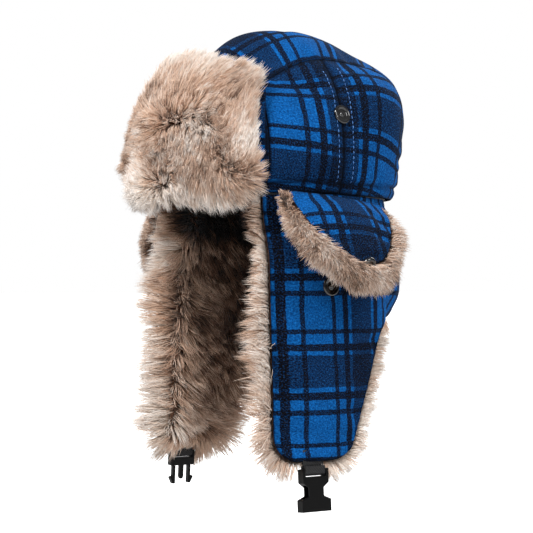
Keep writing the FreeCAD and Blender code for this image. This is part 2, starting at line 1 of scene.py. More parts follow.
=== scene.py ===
"""Looks of the trapper hat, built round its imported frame.

Points are worked out in millimetres and scaled once, when a mesh is made. +Z is up, the wearer faces
-Y and the wearer's left is +X. Each soft piece is a grid of points that follows its frame solid.
"""
import json
import math
import bpy
import bmesh
import numpy as np
from mathutils import Matrix, Vector


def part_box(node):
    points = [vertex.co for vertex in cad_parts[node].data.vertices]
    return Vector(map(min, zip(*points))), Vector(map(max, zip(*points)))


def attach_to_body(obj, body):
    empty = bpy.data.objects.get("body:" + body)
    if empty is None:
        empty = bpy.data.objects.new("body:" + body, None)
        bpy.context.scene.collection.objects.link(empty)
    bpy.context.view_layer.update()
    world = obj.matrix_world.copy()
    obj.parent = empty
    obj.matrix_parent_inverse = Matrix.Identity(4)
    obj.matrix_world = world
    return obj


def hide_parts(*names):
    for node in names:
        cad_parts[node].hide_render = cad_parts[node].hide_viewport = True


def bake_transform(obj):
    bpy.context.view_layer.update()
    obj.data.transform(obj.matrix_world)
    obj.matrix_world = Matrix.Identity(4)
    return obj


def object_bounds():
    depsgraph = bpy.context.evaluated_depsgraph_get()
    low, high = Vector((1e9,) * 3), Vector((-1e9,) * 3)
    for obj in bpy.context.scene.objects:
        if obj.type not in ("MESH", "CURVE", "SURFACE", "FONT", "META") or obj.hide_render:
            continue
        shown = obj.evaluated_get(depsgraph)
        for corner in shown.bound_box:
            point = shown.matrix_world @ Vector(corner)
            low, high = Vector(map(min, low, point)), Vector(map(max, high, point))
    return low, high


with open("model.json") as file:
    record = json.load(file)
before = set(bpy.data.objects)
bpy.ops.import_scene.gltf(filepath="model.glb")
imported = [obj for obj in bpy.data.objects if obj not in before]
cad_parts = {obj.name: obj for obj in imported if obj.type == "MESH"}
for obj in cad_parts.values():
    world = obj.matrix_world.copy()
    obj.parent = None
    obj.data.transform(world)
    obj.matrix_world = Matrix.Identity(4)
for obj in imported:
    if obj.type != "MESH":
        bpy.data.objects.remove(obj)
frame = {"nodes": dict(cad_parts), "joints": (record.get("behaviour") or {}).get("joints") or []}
cad_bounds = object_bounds()

MM = 0.001
SEED = 11


def corners(node):
    """Lowest and highest corner of a frame node, in millimetres."""
    low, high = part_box(node)
    return np.array(low) / MM, np.array(high) / MM


def joint(name):
    """Origin in millimetres and unit axis of a joint."""
    found = [item for item in frame["joints"] if item["name"] == name][0]
    return np.array(found["pos_m"]) / MM, np.array(found["axis"])


# ---------------------------------------------------------------- sizes, in millimetres

CROWN_INSET = 0.5
CROWN_HALF_WIDTH = corners("crown_left_front_panel")[1][0] - CROWN_INSET
CROWN_HALF_LENGTH = corners("crown_centre_panel")[1][1] - CROWN_INSET
CROWN_TOP = corners("crown_centre_panel")[1][2] - CROWN_INSET
WIDEST_LEVEL = 30
CROWN_TUCK = 75
PANEL_FRONT = -corners("crown_left_front_panel")[0][1]
PANEL_BACK = corners("crown_left_rear_panel")[1][1]
PANEL_RISE = 87
ARCH_CENTRE = 5
SIDE_SEAM_LINE = 7.6
BACK_SWELL = 17
BACK_SWELL_ANGLE = 32
ROLL_SWELL = 5.5
ROLL_ANGLE = -15
FRONT_HOLLOW = 11
FRONT_HOLLOW_ANGLE = 50
TOP_HOLLOW = -0.5
NAPE_FOLD_LEVEL = 34
NAPE_FOLD_DEPTH = 2.2
CREASE_LEVEL = 8
CREASE_DEPTH = 2.6
CREASE_HALF_WIDTH = 2

FLAP_PLAN = (91, 130)
NECK_PLAN = (91, 118)
TOP_PLAN = (87, 107)
TOP_BLEND = 60
FLAP_SPLAY = math.radians(4)
NECK_SPLAY = math.radians(2)
FLAP_AXIS = joint("left_earflap_fold")[0]
NECK_AXIS = joint("neck_flap_fold")[0]
FLAP_FRONT_TOP = 60
FLAP_FRONT_BOTTOM = 64
FLAP_DROP = 224
FLAP_REAR_BOTTOM = 4
FLAP_REAR_MIDDLE = 46
FLAP_MIDDLE_DROP = 125
FLAP_CORNER = 21
SIDE_SEAM = 60
NECK_DROP = 105
STRAP_CENTRE = 30
STRAP_ROOT_TOP = -214
STRAP_THICK = 1.8

VISOR_PLAN = (101, 122, 132)
VISOR_END_BACK = 65
VISOR_TOP = 112
VISOR_BOTTOM = 1
VISOR_FLAT = 10
VISOR_TOP_SPAN = 81
VISOR_TOP_CORNER = 45
VISOR_LOW_CORNER = 14

COVER_HINGE, COVER_AXIS = joint("left_ear_cover_fold")
COVER_OPEN = math.radians(40)
COVER_HALF_WIDTH = 52
COVER_REACH = 74
COVER_BULGE = 11
SOCKET_REACH = 74
COVER_SNAP_LIFT = 3.4
COVER_SNAP_LEAN = 1.5
STUD_REACH = 73

CLOTH = 4
STITCH_PITCH = 4.4
STITCH_LENGTH = 2.6
STITCH_RADIUS = 0.4
SNAP_SCALE = 1.14
SOCKET_SCALE = 0.85


# ---------------------------------------------------------------- vectors and grids

def unit(vectors):
    return vectors / np.maximum(np.linalg.norm(vectors, axis=-1, keepdims=True), 1e-9)


def smooth_step(value):
    value = np.clip(value, 0, 1)
    return value * value * (3 - 2 * value)


def grid_normals(grid):
    """Unit normals of a grid of points, pointing along (first direction) x (second direction)."""
    along = np.gradient(grid, axis=0)
    across = np.gradient(grid, axis=1)
    return unit(np.cross(along, across))


def arc_spans(grid):
    """Distance of every grid point from the four borders: first, last row, first, last column."""
    spans = []
    for axis in (0, 1):
        steps = np.linalg.norm(np.diff(grid, axis=axis), axis=-1)
        start = np.zeros_like(steps.take([0], axis=axis))
        run = np.concatenate([start, np.cumsum(steps, axis=axis)], axis=axis)
        spans += [run, run.take([-1], axis=axis) - run]
    return spans


def border_distance(grid):
    return np.minimum.reduce(arc_spans(grid))


def mirrored(grid):
    """The wearer's right-hand copy of a left-hand grid."""
    return grid * np.array([-1, 1, 1])


def packed_ends(count, share=0.5):
    """Rising values from 0 to 1 that are closer together at both ends."""
    even = np.linspace(0, 1, count)
    return (1 - share) * even + share * (1 - np.cos(math.pi * even)) / 2


def value_noise(points, cell, seed):
    """Smooth noise from 0 to 1 over any array of points, with a cell size in millimetres."""
    place = np.asarray(points, float) / cell + seed * 7.31
    low = np.floor(place).astype(np.int64)
    share = smooth_step(place - low)
    total = np.zeros(place.shape[:-1])
    for corner in range(8):
        step = np.array([corner & 1, corner >> 1 & 1, corner >> 2 & 1])
        cell_id = low + step
        mixed = cell_id[..., 0] * 374761393 + cell_id[..., 1] * 668265263 + cell_id[..., 2] * 2147483647
        mixed = (mixed ^ (mixed >> 13)) * 1274126177 + seed * 977
        shade = ((mixed ^ (mixed >> 16)) & 65535) / 65535
        weight = np.prod(np.where(step == 1, share, 1 - share), axis=-1)
        total += weight * shade
    return total


# ---------------------------------------------------------------- meshes

def make_mesh(name, points, quads, tris=None, corner_uv=None, uv_name="cloth"):
    """Object from points in millimetres, with its faces given as arrays of point numbers."""
    tris = np.zeros((0, 3), int) if tris is None else tris
    mesh = bpy.data.meshes.new(name)
    loops = np.concatenate([quads.ravel(), tris.ravel()])
    starts = np.concatenate([np.arange(len(quads)) * 4, len(quads) * 4 + np.arange(len(tris)) * 3])
    mesh.vertices.add(len(points))
    mesh.vertices.foreach_set("co", (points * MM).astype(np.float32).ravel())
    mesh.loops.add(len(loops))
    mesh.loops.foreach_set("vertex_index", loops.astype(np.int32))
    mesh.polygons.add(len(starts))
    mesh.polygons.foreach_set("loop_start", starts.astype(np.int32))
    mesh.polygons.foreach_set("use_smooth", np.ones(len(starts), bool))
    mesh.update(calc_edges=True)
    if corner_uv is not None:
        layer = mesh.uv_layers.new(name=uv_name)
        layer.data.foreach_set("uv", corner_uv.astype(np.float32).ravel())
    thing = bpy.data.objects.new(name, mesh)
    bpy.context.scene.collection.objects.link(thing)
    return thing


def face_outward(thing):
    work = bmesh.new()
    work.from_mesh(thing.data)
    bmesh.ops.recalc_face_normals(work, faces=work.faces)
    work.to_mesh(thing.data)
    work.free()
    return thing


def refine(thing, levels=1):
    """Subdivide once and keep the result as the object's own mesh."""
    modifier = thing.modifiers.new("refine", "SUBSURF")
    modifier.levels = levels
    modifier.render_levels = levels
    modifier.use_limit_surface = False
    return keep_modifiers(thing)


def keep_modifiers(thing):
    bpy.context.view_layer.update()
    graph = bpy.context.evaluated_depsgraph_get()
    mesh = bpy.data.meshes.new_from_object(thing.evaluated_get(graph), depsgraph=graph)
    thing.modifiers.clear()
    thing.data = mesh
    return thing


def join_all(name, parts):
    """Merge objects into the first and name it."""
    for thing in bpy.context.selected_objects:
        thing.select_set(False)
    for part in parts:
        part.select_set(True)
    bpy.context.view_layer.objects.active = parts[0]
    bpy.ops.object.join()
    parts[0].name = name
    parts[0].data.name = name
    parts[0].select_set(False)
    return parts[0]


def slab(name, outer, inner, flat=None, painted_crease_shade=None):
    """Closed solid between two grids: both faces and a strip round the rim.

    flat holds the cloth's own coordinates at each grid point; the last argument holds painted shade, how far
    the cloth colour is darkened in each seam or crease.
    """
    rows, columns = outer.shape[:2]
    count = rows * columns
    index = np.arange(count).reshape(rows, columns)
    face = np.stack([index[:-1, :-1], index[1:, :-1], index[1:, 1:], index[:-1, 1:]], -1).reshape(-1, 4)
    rim = np.concatenate([index[:, 0], index[-1, 1:], index[-2::-1, -1], index[0, -2:0:-1]])
    following = np.roll(rim, -1)
    strip = np.stack([following, rim, rim + count, following + count], -1)
    quads = np.concatenate([face, face[:, ::-1] + count, strip])
    points = np.concatenate([outer.reshape(-1, 3), inner.reshape(-1, 3)])
    uv = None
    if flat is not None:
        both = np.concatenate([flat.reshape(-1, 2), flat.reshape(-1, 2)]) * MM
        uv = both[quads.ravel()]
    thing = make_mesh(name, points, quads, corner_uv=uv)
    if painted_crease_shade is not None:
        # painted shade for seams and creases, kept per point for the plaid colour
        layer = thing.data.attributes.new("painted_crease_shade", "FLOAT", "POINT")
        layer.data.foreach_set("value", np.concatenate([painted_crease_shade.ravel(), painted_crease_shade.ravel()]).astype(np.float32))
    return face_outward(thing)


# ---------------------------------------------------------------- padded cloth


def puff(grid, outward, height, pressure=4.0, grow=0.03):
    """Blow up a cloth sewn down along its border, and cap how far a point may move."""
    rows, columns = grid.shape[:2]
    index = np.arange(rows * columns).reshape(rows, columns)
    if outward < 0:
        index = index[:, ::-1]
    face = np.stack([index[:-1, :-1], index[1:, :-1], index[1:, 1:], index[:-1, 1:]], -1).reshape(-1, 4)
    cloth = make_mesh("cloth_trial", grid.reshape(-1, 3), face)
    border = np.ones((rows, columns), bool)
    border[1:-1, 1:-1] = False
    sewn = cloth.vertex_groups.new(name="sewn")
    sewn.add(np.flatnonzero(border.ravel()).tolist(), 1.0, "REPLACE")
    modifier = cloth.modifiers.new("cloth", "CLOTH")
    settings = modifier.settings
    settings.quality = 6
    settings.mass = 0.3
    settings.tension_stiffness = 12
    settings.compression_stiffness = 12
    settings.shear_stiffness = 4
    settings.bending_stiffness = 0.4
    settings.vertex_group_mass = "sewn"
    settings.shrink_min = -grow
    settings.use_pressure = True
    settings.uniform_pressure_force = pressure
    settings.effector_weights.gravity = 0
    modifier.point_cache.frame_start = 1
    modifier.point_cache.frame_end = 20
    for number in range(1, 21):
        bpy.context.scene.frame_set(number)
    graph = bpy.context.evaluated_depsgraph_get()
    shape = cloth.evaluated_get(graph).to_mesh()
    moved = np.zeros(rows * columns * 3, np.float32)
    shape.vertices.foreach_get("co", moved)
    bpy.data.objects.remove(cloth)
    bpy.context.scene.frame_set(1)
    shift = moved.reshape(rows, columns, 3).astype(float) / MM - grid
    length = np.linalg.norm(shift, axis=-1, keepdims=True)
    return grid + unit(shift) * height * np.tanh(length / height)


def pinched(grid, flat_grid, spot, radius):
    """Pull a puffed grid back to its flat place round a snap fastener."""
    near = np.exp(-(np.linalg.norm(flat_grid - spot, axis=-1, keepdims=True) / radius) ** 2)
    return grid + (flat_grid - grid) * near


def cloth_piece(name, grid, rest, outward, thick, flat, painted_crease_shade, material):
    """Padded cloth as a closed solid whose border is thin, where it is sewn."""
    border = border_distance(rest)
    depth = 0.9 + (thick - 0.9) * smooth_step(border / 9)
    inner = rest - outward * grid_normals(rest) * depth[..., None]
    thing = slab(name, grid, inner, flat, painted_crease_shade)
    refine(thing)
    thing.data.materials.append(material)
    return thing


def seam_painted_shade(grid, skip=(), reach=1.6):
    """Painted shade for seams: 1 on the seamed borders of a grid and 0 a little way in. skip names borders left
    plain.
    """
    shade = np.zeros(grid.shape[:2])
    for number, span in enumerate(arc_spans(grid)):
        if number not in skip:
            shade = np.maximum(shade, np.exp(-(span / reach) ** 2))
    return shade


# ---------------------------------------------------------------- crown form

def crown_side(back, height):
    """Distance out to the side of the crown's surface at a place in side view."""
    upright = np.where(height > WIDEST_LEVEL, CROWN_TOP - WIDEST_LEVEL, CROWN_TUCK)
    rest = 1 - (back / CROWN_HALF_LENGTH) ** 2 - ((height - WIDEST_LEVEL) / upright) ** 2
    return CROWN_HALF_WIDTH * np.sqrt(np.maximum(rest, 0))


def crown_at_angle(side, angle):
    """Point of the crown at a distance to the side and an angle in side view, about the widest level."""
    upright = np.where(np.sin(angle) > 0, CROWN_TOP - WIDEST_LEVEL, CROWN_TUCK)
    stretch = (np.cos(angle) / CROWN_HALF_LENGTH) ** 2 + (np.sin(angle) / upright) ** 2
    radius = np.sqrt(np.maximum(1 - (side / CROWN_HALF_WIDTH) ** 2, 0) / stretch)
    return np.stack([side, radius * np.cos(angle), WIDEST_LEVEL + radius * np.sin(angle)], -1)


def hump(angle, middle, below, above):
    """Bell curve with its own spread on either side of its middle, all in degrees."""
    spread = np.where(angle < middle, below, above)
    return np.exp(-((angle - middle) / spread) ** 2)


def fuller(points):
    """Reshape a plain oval crown: padding fills it out high at the back and it slopes down in front."""
    reach = points - np.array([0, 0, WIDEST_LEVEL])
    angle = np.degrees(np.arcsin(np.clip(reach[..., 2] / np.linalg.norm(reach, axis=-1), -1, 1)))
    heading = reach[..., 1] / np.maximum(np.hypot(reach[..., 0], reach[..., 1]), 1)
    back = BACK_SWELL * hump(angle, BACK_SWELL_ANGLE, 24, 17) + ROLL_SWELL * hump(angle, ROLL_ANGLE, 9, 9)
    front = FRONT_HOLLOW * hump(angle, FRONT_HOLLOW_ANGLE, 24, 20)
    shift = (back * smooth_step((heading + 0.1) / 0.9) - front * smooth_step((0.1 - heading) / 0.9)
             - TOP_HOLLOW * smooth_step((angle - 45) / 30))
    return points + unit(reach) * shift[..., None]


def nape_fold(grid):
    """Depth of the fold where the crown's back sinks over the neck curtain."""
    level = NAPE_FOLD_LEVEL - 0.12 * (PANEL_BACK - grid[..., 1])
    near = np.exp(-((grid[..., 2] - level) / 3.5) ** 2)
    return near * smooth_step((grid[..., 1] - 66) / 30)


def panel_top(back):
    """Height of the side panel's arched edge."""
    share = (back - ARCH_CENTRE) / (PANEL_BACK - ARCH_CENTRE)
    return WIDEST_LEVEL + PANEL_RISE * np.sqrt(np.maximum(1 - share ** 2, 0))


def side_panel(front, back, columns, rows=40):
    """Grid of a side panel between two upright lines; the first direction runs back, the second up."""
    if back > PANEL_BACK - 1:
        share = 1 - (1 - np.linspace(0, 1, columns)) ** 1.6
    else:
        share = np.linspace(0, 1, columns)
    place = front + (back - front) * share
    up = np.linspace(0, 1, rows)
    height = panel_top(place)[:, None] * up[None, :]
    depth = np.repeat(place[:, None], rows, axis=1)
    return np.stack([crown_side(depth, height), depth, height], -1)


def arc_table(points):
    steps = np.linalg.norm(np.diff(points, axis=0), axis=-1)
    return np.concatenate([[0], np.cumsum(steps)])


def crown_grain(grid):
    """Cloth coordinates of a side panel: round the crown, and up it."""
    level = 45.0
    trial_back = np.linspace(-PANEL_FRONT, PANEL_BACK, 200)
    round_line = np.stack([crown_side(trial_back, np.full(200, level)), trial_back,
                           np.full(200, level)], -1)
    trial_up = np.linspace(0, 118, 200)
    up_line = np.stack([crown_side(np.zeros(200), trial_up), np.zeros(200), trial_up], -1)
    seam_arc = np.interp(SIDE_SEAM_LINE, trial_back, arc_table(round_line))
    across = np.interp(grid[..., 1], trial_back, arc_table(round_line)) - seam_arc
    along = np.interp(grid[..., 2], trial_up, arc_table(up_line))
    if grid[..., 1].max() > SIDE_SEAM_LINE + 1:
        rows = along + REAR_ROW_START + REAR_ROW_BEND * across ** 2
    else:
        rows = along + CROWN_ROW_START + CROWN_ROW_SLOPE * (across + PANEL_FRONT / 2)
    return np.stack([across * CROWN_COLUMN_SCALE + BAND_CENTRE, rows], -1)


def crown_crease(grid):
    """How far each point is drawn in along the tuck near the crown's lower edge."""
    return np.exp(-((grid[..., 2] - CREASE_LEVEL) / CREASE_HALF_WIDTH) ** 2)


# where the plaid falls on each piece, in the repeat's own millimetres
BAND_CENTRE = 61.5
CROWN_COLUMN_SCALE = 0.9
CROWN_ROW_START = 39.9
CROWN_ROW_SLOPE = 0.1
REAR_ROW_START = 86.4
REAR_ROW_BEND = 0.0024
FLAP_COLUMN_START = 37
FLAP_COLUMN_SCALE = 1.1
FLAP_FRONT_STRIP = 35.5
FLAP_ROW_START = 110.4
FLAP_ROW_SCALE = 0.97
HEM_ROLL = 5
COVER_COLUMN_START = 61.2
COVER_ROW_START = 1.5
CENTRE_COLUMN_START = 91.5
CENTRE_ROW_START = 83.5


def make_side_panels():
    """Front and rear side panels on both sides, with the tuck above the lower edge."""
    made = []
    for end, front, back, columns in (("front", -PANEL_FRONT, SIDE_SEAM_LINE, 24),
                                      ("rear", SIDE_SEAM_LINE, PANEL_BACK, 34)):
        plain = side_panel(front, back, columns)
        flat = crown_grain(plain)
        rest = fuller(plain)
        full = puff(rest, 1, 5)
        full = pinched(full, rest, crown_stud_place()[0], 9)
        tuck = crown_crease(rest)
        sunk = tuck * CREASE_DEPTH + nape_fold(rest) * NAPE_FOLD_DEPTH
        full = full + grid_normals(rest) * (thumb_dents(rest, 1.6, 34, 21) - sunk[..., None])
        # painted shade: the seams and the tuck crease darken the plaid
        shade = np.maximum(seam_painted_shade(rest), tuck ** 2)
        beside_seam = full[-3] if end == "front" else full[2]
        for side, grid, base, outward in (("left", full, rest, 1),
                                          ("right", mirrored(full), mirrored(rest), -1)):
            name = "crown_%s_%s_cloth" % (side, end)
            turned = beside_seam if side == "left" else mirrored(beside_seam)
            make_stitches("crown_%s_%s_stitches" % (side, end), turned[3:-3], "crown")
            piece = cloth_piece(name, grid, base, outward, 3, flat, shade, PLAID)
            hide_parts("crown_%s_%s_panel" % (side, end))
            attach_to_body(piece, "crown")
            made.append(piece)
    return made


def make_stitches(name, line, body):
    """Row of short raised stitches along a line of points on the cloth."""
    run = arc_table(line)
    count = int(run[-1] / STITCH_PITCH)
    middle = (np.arange(count) + 0.5) * STITCH_PITCH
    ahead = STITCH_LENGTH / 2
    start = np.stack([np.interp(middle - ahead, run, line[:, axis]) for axis in range(3)], -1)
    end = np.stack([np.interp(middle + ahead, run, line[:, axis]) for axis in range(3)], -1)
    heading = unit(end - start)
    out = unit((start + end) / 2 - np.array([0, 0, WIDEST_LEVEL]))
    across = unit(np.cross(heading, out))
    points = []
    for place, size in ((start, 0.5), ((start + end) / 2 + out * 0.35, 1.0), (end, 0.5)):
        for turn in range(6):
            angle = math.pi * turn / 3
            points.append(place + (across * math.cos(angle) + out * math.sin(angle)) * STITCH_RADIUS * size)
    points += [start - heading * 0.2, end + heading * 0.2]
    points = np.stack(points, 1)
    base = np.arange(count)[:, None] * 20
    quads, tris = [], []
    for turn in range(6):
        onward = (turn + 1) % 6
        quads += [base + np.array([[ring + turn, ring + 6 + turn, ring + 6 + onward, ring + onward]])
                  for ring in (0, 6)]
        tris += [base + np.array([[18, turn, onward]]), base + np.array([[19, 12 + onward, 12 + turn]])]
    piece = face_outward(make_mesh(name, points.reshape(-1, 3), np.concatenate(quads), np.concatenate(tris)))
    piece.data.materials.append(THREAD)
    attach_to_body(piece, body)


def seam_angles(points_per_part=(22, 52, 8)):
    """Angles, about the widest level, of stations along the side panel's seam from front to back."""
    corner = math.atan2(float(panel_top(-PANEL_FRONT)) - WIDEST_LEVEL, -PANEL_FRONT)
    start = math.pi + math.atan2(WIDEST_LEVEL, PANEL_FRONT)
    end = -math.atan2(WIDEST_LEVEL, PANEL_BACK)
    parts = [np.linspace(start, corner, points_per_part[0], endpoint=False),
             np.linspace(corner, 0, points_per_part[1], endpoint=False),
             np.linspace(0, end, points_per_part[2])]
    return np.concatenate(parts)


def seam_point(angle):
    """Place of the side panel's seam at an angle, in side view."""
    corner = math.atan2(float(panel_top(-PANEL_FRONT)) - WIDEST_LEVEL, -PANEL_FRONT)
    if angle >= corner:
        return -PANEL_FRONT, WIDEST_LEVEL - PANEL_FRONT * math.tan(angle)
    if angle <= 0:
        return PANEL_BACK, WIDEST_LEVEL + PANEL_BACK * math.tan(angle)
    wide = PANEL_BACK - ARCH_CENTRE
    a = (math.cos(angle) / wide) ** 2 + (math.sin(angle) / PANEL_RISE) ** 2
    b = -2 * ARCH_CENTRE * math.cos(angle) / wide ** 2
    c = (ARCH_CENTRE / wide) ** 2 - 1
    radius = (-b + math.sqrt(b * b - 4 * a * c)) / (2 * a)
    return radius * math.cos(angle), WIDEST_LEVEL + radius * math.sin(angle)


def centre_panel(columns=30):
    """Grid of the centre panel from the left seam over to the right one, front to back."""
    angles = seam_angles()
    progress = (angles[0] - angles) / (angles[0] - angles[-1])
    bottom_length = CROWN_HALF_LENGTH * math.sqrt(1 - (WIDEST_LEVEL / CROWN_TUCK) ** 2)
    lean = math.atan2(WIDEST_LEVEL, bottom_length)
    middle = (math.pi + lean) + (-2 * lean - math.pi) * progress
    share = np.linspace(1, -1, 2 * columns + 1)
    rows = []
    for angle, centre in zip(angles, middle):
        back, height = seam_point(angle)
        side = float(crown_side(np.array(back), np.array(height)))
        turn = centre + (angle - centre) * share ** 2
        row = crown_at_angle(side * share, turn)
        rows.append(row)
    grid = np.array(rows)
    for end, direction in ((0, -1), (-1, 1)):
        across = grid[end, :, 0] / (CROWN_HALF_WIDTH * bottom_length / CROWN_HALF_LENGTH)
        grid[end, :, 1] = direction * bottom_length * np.sqrt(1 - across ** 2)
        grid[end, :, 2] = 0
    return grid


def make_centre_panel():
    rest = fuller(centre_panel())
    outward = 1
    full = puff(rest, outward, 5)
    tuck = crown_crease(rest) * smooth_step((rest[..., 1]) / 60)
    sunk = tuck * CREASE_DEPTH + nape_fold(rest) * NAPE_FOLD_DEPTH
    full = full + outward * grid_normals(rest) * (thumb_dents(rest, 1.6, 34, 22) - sunk[..., None])
    middle = rest.shape[1] // 2
    run = arc_table(rest[:, middle])
    crown_row = np.repeat(run[:, None], rest.shape[1], axis=1)
    flat = np.stack([arc_spans(rest)[2] + CENTRE_COLUMN_START, crown_row + CENTRE_ROW_START], -1)
    # painted shade: the seams and the tuck crease darken the plaid
    shade = np.maximum(seam_painted_shade(rest), tuck ** 2)
    piece = cloth_piece("crown_centre_cloth", full, rest, outward, 3, flat, shade, PLAID)
    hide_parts("crown_centre_panel", "crown_padding")
    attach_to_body(piece, "crown")
    return piece


def make_lining():
    """Quilted satin bowl inside the crown."""
    high = corners("crown_lining")[1]
    low = corners("crown_lining")[0]
    count = 61
    line = np.linspace(-1, 1, count)
    u, v = np.meshgrid(line, line, indexing="ij")
    disc_x = u * np.sqrt(1 - v ** 2 / 2)
    disc_y = v * np.sqrt(1 - u ** 2 / 2)
    reach = np.sqrt(disc_x ** 2 + disc_y ** 2)
    floor_angle = -math.asin(WIDEST_LEVEL / CROWN_TUCK)
    latitude = math.pi / 2 - (math.pi / 2 - floor_angle) * reach
    heading = np.arctan2(disc_y, disc_x)
    rise = np.where(latitude > 0, high[2] - WIDEST_LEVEL, CROWN_TUCK - 12)
    grid = np.stack([high[0] * np.cos(latitude) * np.cos(heading),
                     high[1] * np.cos(latitude) * np.sin(heading),
                     WIDEST_LEVEL + rise * np.sin(latitude)], -1)
    grid[..., 2] = np.maximum(grid[..., 2], low[2])
    grid = fuller(grid)
    normals = grid_normals(grid)
    if normals[count // 2, count // 2, 2] < 0:
        normals = -normals
    pitch = 24
    first = (grid[..., 0] + grid[..., 2] * 0.6 + grid[..., 1]) / pitch
    second = (grid[..., 0] - grid[..., 2] * 0.6 - grid[..., 1]) / pitch
    quilt = np.minimum(np.abs(np.sin(math.pi * first)), np.abs(np.sin(math.pi * second)))
    inner = grid - normals * (1.2 + 2.6 * np.sqrt(quilt))[..., None]
    outer = grid - normals * 0.2
    piece = slab("crown_lining_quilt", outer, inner, np.stack([u, v], -1) * 100)
    refine(piece)
    piece.data.materials.append(LINING)
    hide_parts("crown_lining")
    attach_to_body(piece, "crown")
    return piece


def ring_tube(name, centre_line, half_wide, half_high, sides=10):
    """Closed tube of oval section round a closed line that lies level."""
    count = len(centre_line)
    ahead = unit(np.roll(centre_line, -1, 0) - np.roll(centre_line, 1, 0))
    up = np.array([0, 0, 1.0])
    out = unit(np.cross(ahead, up))
    turn = np.linspace(0, 2 * math.pi, sides, endpoint=False)
    points = (centre_line[:, None] + out[:, None] * (half_wide * np.cos(turn))[None, :, None]
              + up * (half_high * np.sin(turn))[None, :, None])
    index = np.arange(count * sides).reshape(count, sides)
    onward = np.roll(index, -1, 0)
    quads = np.stack([index, onward, np.roll(onward, -1, 1), np.roll(index, -1, 1)], -1).reshape(-1, 4)
    return face_outward(make_mesh(name, points.reshape(-1, 3), quads))


def make_binding():
    """Twill tape folded over the seam between crown and flaps."""
    low, high = corners("opening_binding")
    turn = np.linspace(0, 2 * math.pi, 180, endpoint=False)
    level = (low[2] + high[2]) / 2
    width = 2.2
    inset = 5
    line = np.stack([(high[0] - inset) * np.cos(turn), (high[1] - inset) * np.sin(turn),
                     np.full(180, level)], -1)
    piece = ring_tube("opening_binding_tape", line, width, (high[2] - low[2]) / 2)
    piece.data.materials.append(WEBBING)
    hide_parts("opening_binding")
    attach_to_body(piece, "crown")
    return piece


# ---------------------------------------------------------------- flaps and neck curtain

def skirt_side(back, height, plan):
    """Distance out to the side of an upright skirt that starts at the crown's lower edge."""
    share = smooth_step(-height / TOP_BLEND)
    top = TOP_PLAN[0] * np.sqrt(np.maximum(1 - (back / TOP_PLAN[1]) ** 2, 0.02))
    low = plan[0] * np.sqrt(np.maximum(1 - (back / plan[1]) ** 2, 0.02))
    return top + (low - top) * share


def splayed(grid):
    """Lean a left earflap grid out about its fold line, by nothing at the fold."""
    angle = FLAP_SPLAY * smooth_step(-grid[..., 2] / TOP_BLEND)
    side = grid[..., 0] - FLAP_AXIS[0]
    height = grid[..., 2]
    moved = grid.copy()
    moved[..., 0] = FLAP_AXIS[0] + side * np.cos(angle) - height * np.sin(angle)
    moved[..., 2] = height * np.cos(angle) + side * np.sin(angle)
    return moved


def flap_front(height, margin):
    return -(FLAP_FRONT_TOP + (FLAP_FRONT_BOTTOM - FLAP_FRONT_TOP) * (-height / FLAP_DROP)) - margin


def flap_rear(height, margin):
    """Rear edge: upright, a short step in where the neck curtain ends, then a long taper."""
    drops = [0, NECK_DROP, FLAP_MIDDLE_DROP, FLAP_DROP + margin]
    places = [SIDE_SEAM, SIDE_SEAM, FLAP_REAR_MIDDLE, FLAP_REAR_BOTTOM]
    sharp = np.interp(-height, drops, places)
    early = np.interp(-height - 6, drops, places)
    late = np.interp(-height + 6, drops, places)
    return (sharp * 2 + early + late) / 4 + margin * smooth_step((-height - 60) / 60)


def flap_grid(margin, columns=40, rows=76):
    """Left earflap in its hanging place; the first direction runs back, the second down."""
    share = packed_ends(columns, 0.7)
    drop = FLAP_DROP + margin
    wide = flap_rear(np.array(-drop), margin) - flap_front(np.array(-drop), margin)
    front_gap = np.clip(1 - share * wide / (FLAP_CORNER + margin / 2), 0, 1)
    rear_gap = np.clip(1 - (1 - share) * wide / (FLAP_CORNER - 2), 0, 1)
    cut = (FLAP_CORNER + margin / 2) * (1 - np.sqrt(1 - front_gap ** 2))
    cut = cut + 0.62 * FLAP_CORNER * (1 - np.sqrt(1 - rear_gap ** 2))
    depth = drop - cut
    down = np.linspace(0, 1, rows)
    height = -depth[:, None] * down[None, :]
    front = flap_front(height, margin)
    rear = flap_rear(height, margin)
    back = front + (rear - front) * share[:, None]
    grid = np.stack([skirt_side(back, height, FLAP_PLAN), back, height], -1)
    return splayed(grid)


def neck_grid(margin, columns=60, rows=34):
    """Neck curtain from the left side seam round the back to the right one, and down."""
    start = SIDE_SEAM
    drop = NECK_DROP + margin
    down = np.linspace(0, 1, rows)
    height = np.repeat(-drop * down[None, :], 2 * columns + 1, axis=0)
    turn = np.linspace(1, -1, 2 * columns + 1)
    share = smooth_step(-height / TOP_BLEND)
    wide = TOP_PLAN[0] + (NECK_PLAN[0] - TOP_PLAN[0]) * share
    length = TOP_PLAN[1] + (NECK_PLAN[1] - TOP_PLAN[1]) * share
    limit = np.arccos(start / length)
    heading = limit * turn[:, None]
    grid = np.stack([wide * np.sin(heading), length * np.cos(heading), height], -1)
    angle = NECK_SPLAY * smooth_step(-height / TOP_BLEND)
    curl = 9 * smooth_step((-height - NECK_DROP + 32) / 32) ** 2
    outward = unit(np.stack([grid[..., 0], grid[..., 1], 0 * height], -1))
    grid = grid - outward * curl[..., None]
    depth = grid[..., 1] - NECK_AXIS[1]
    moved = grid.copy()
    moved[..., 1] = NECK_AXIS[1] + depth * np.cos(angle) - height * np.sin(angle)
    moved[..., 2] = height * np.cos(angle) + depth * np.sin(angle)
    return moved


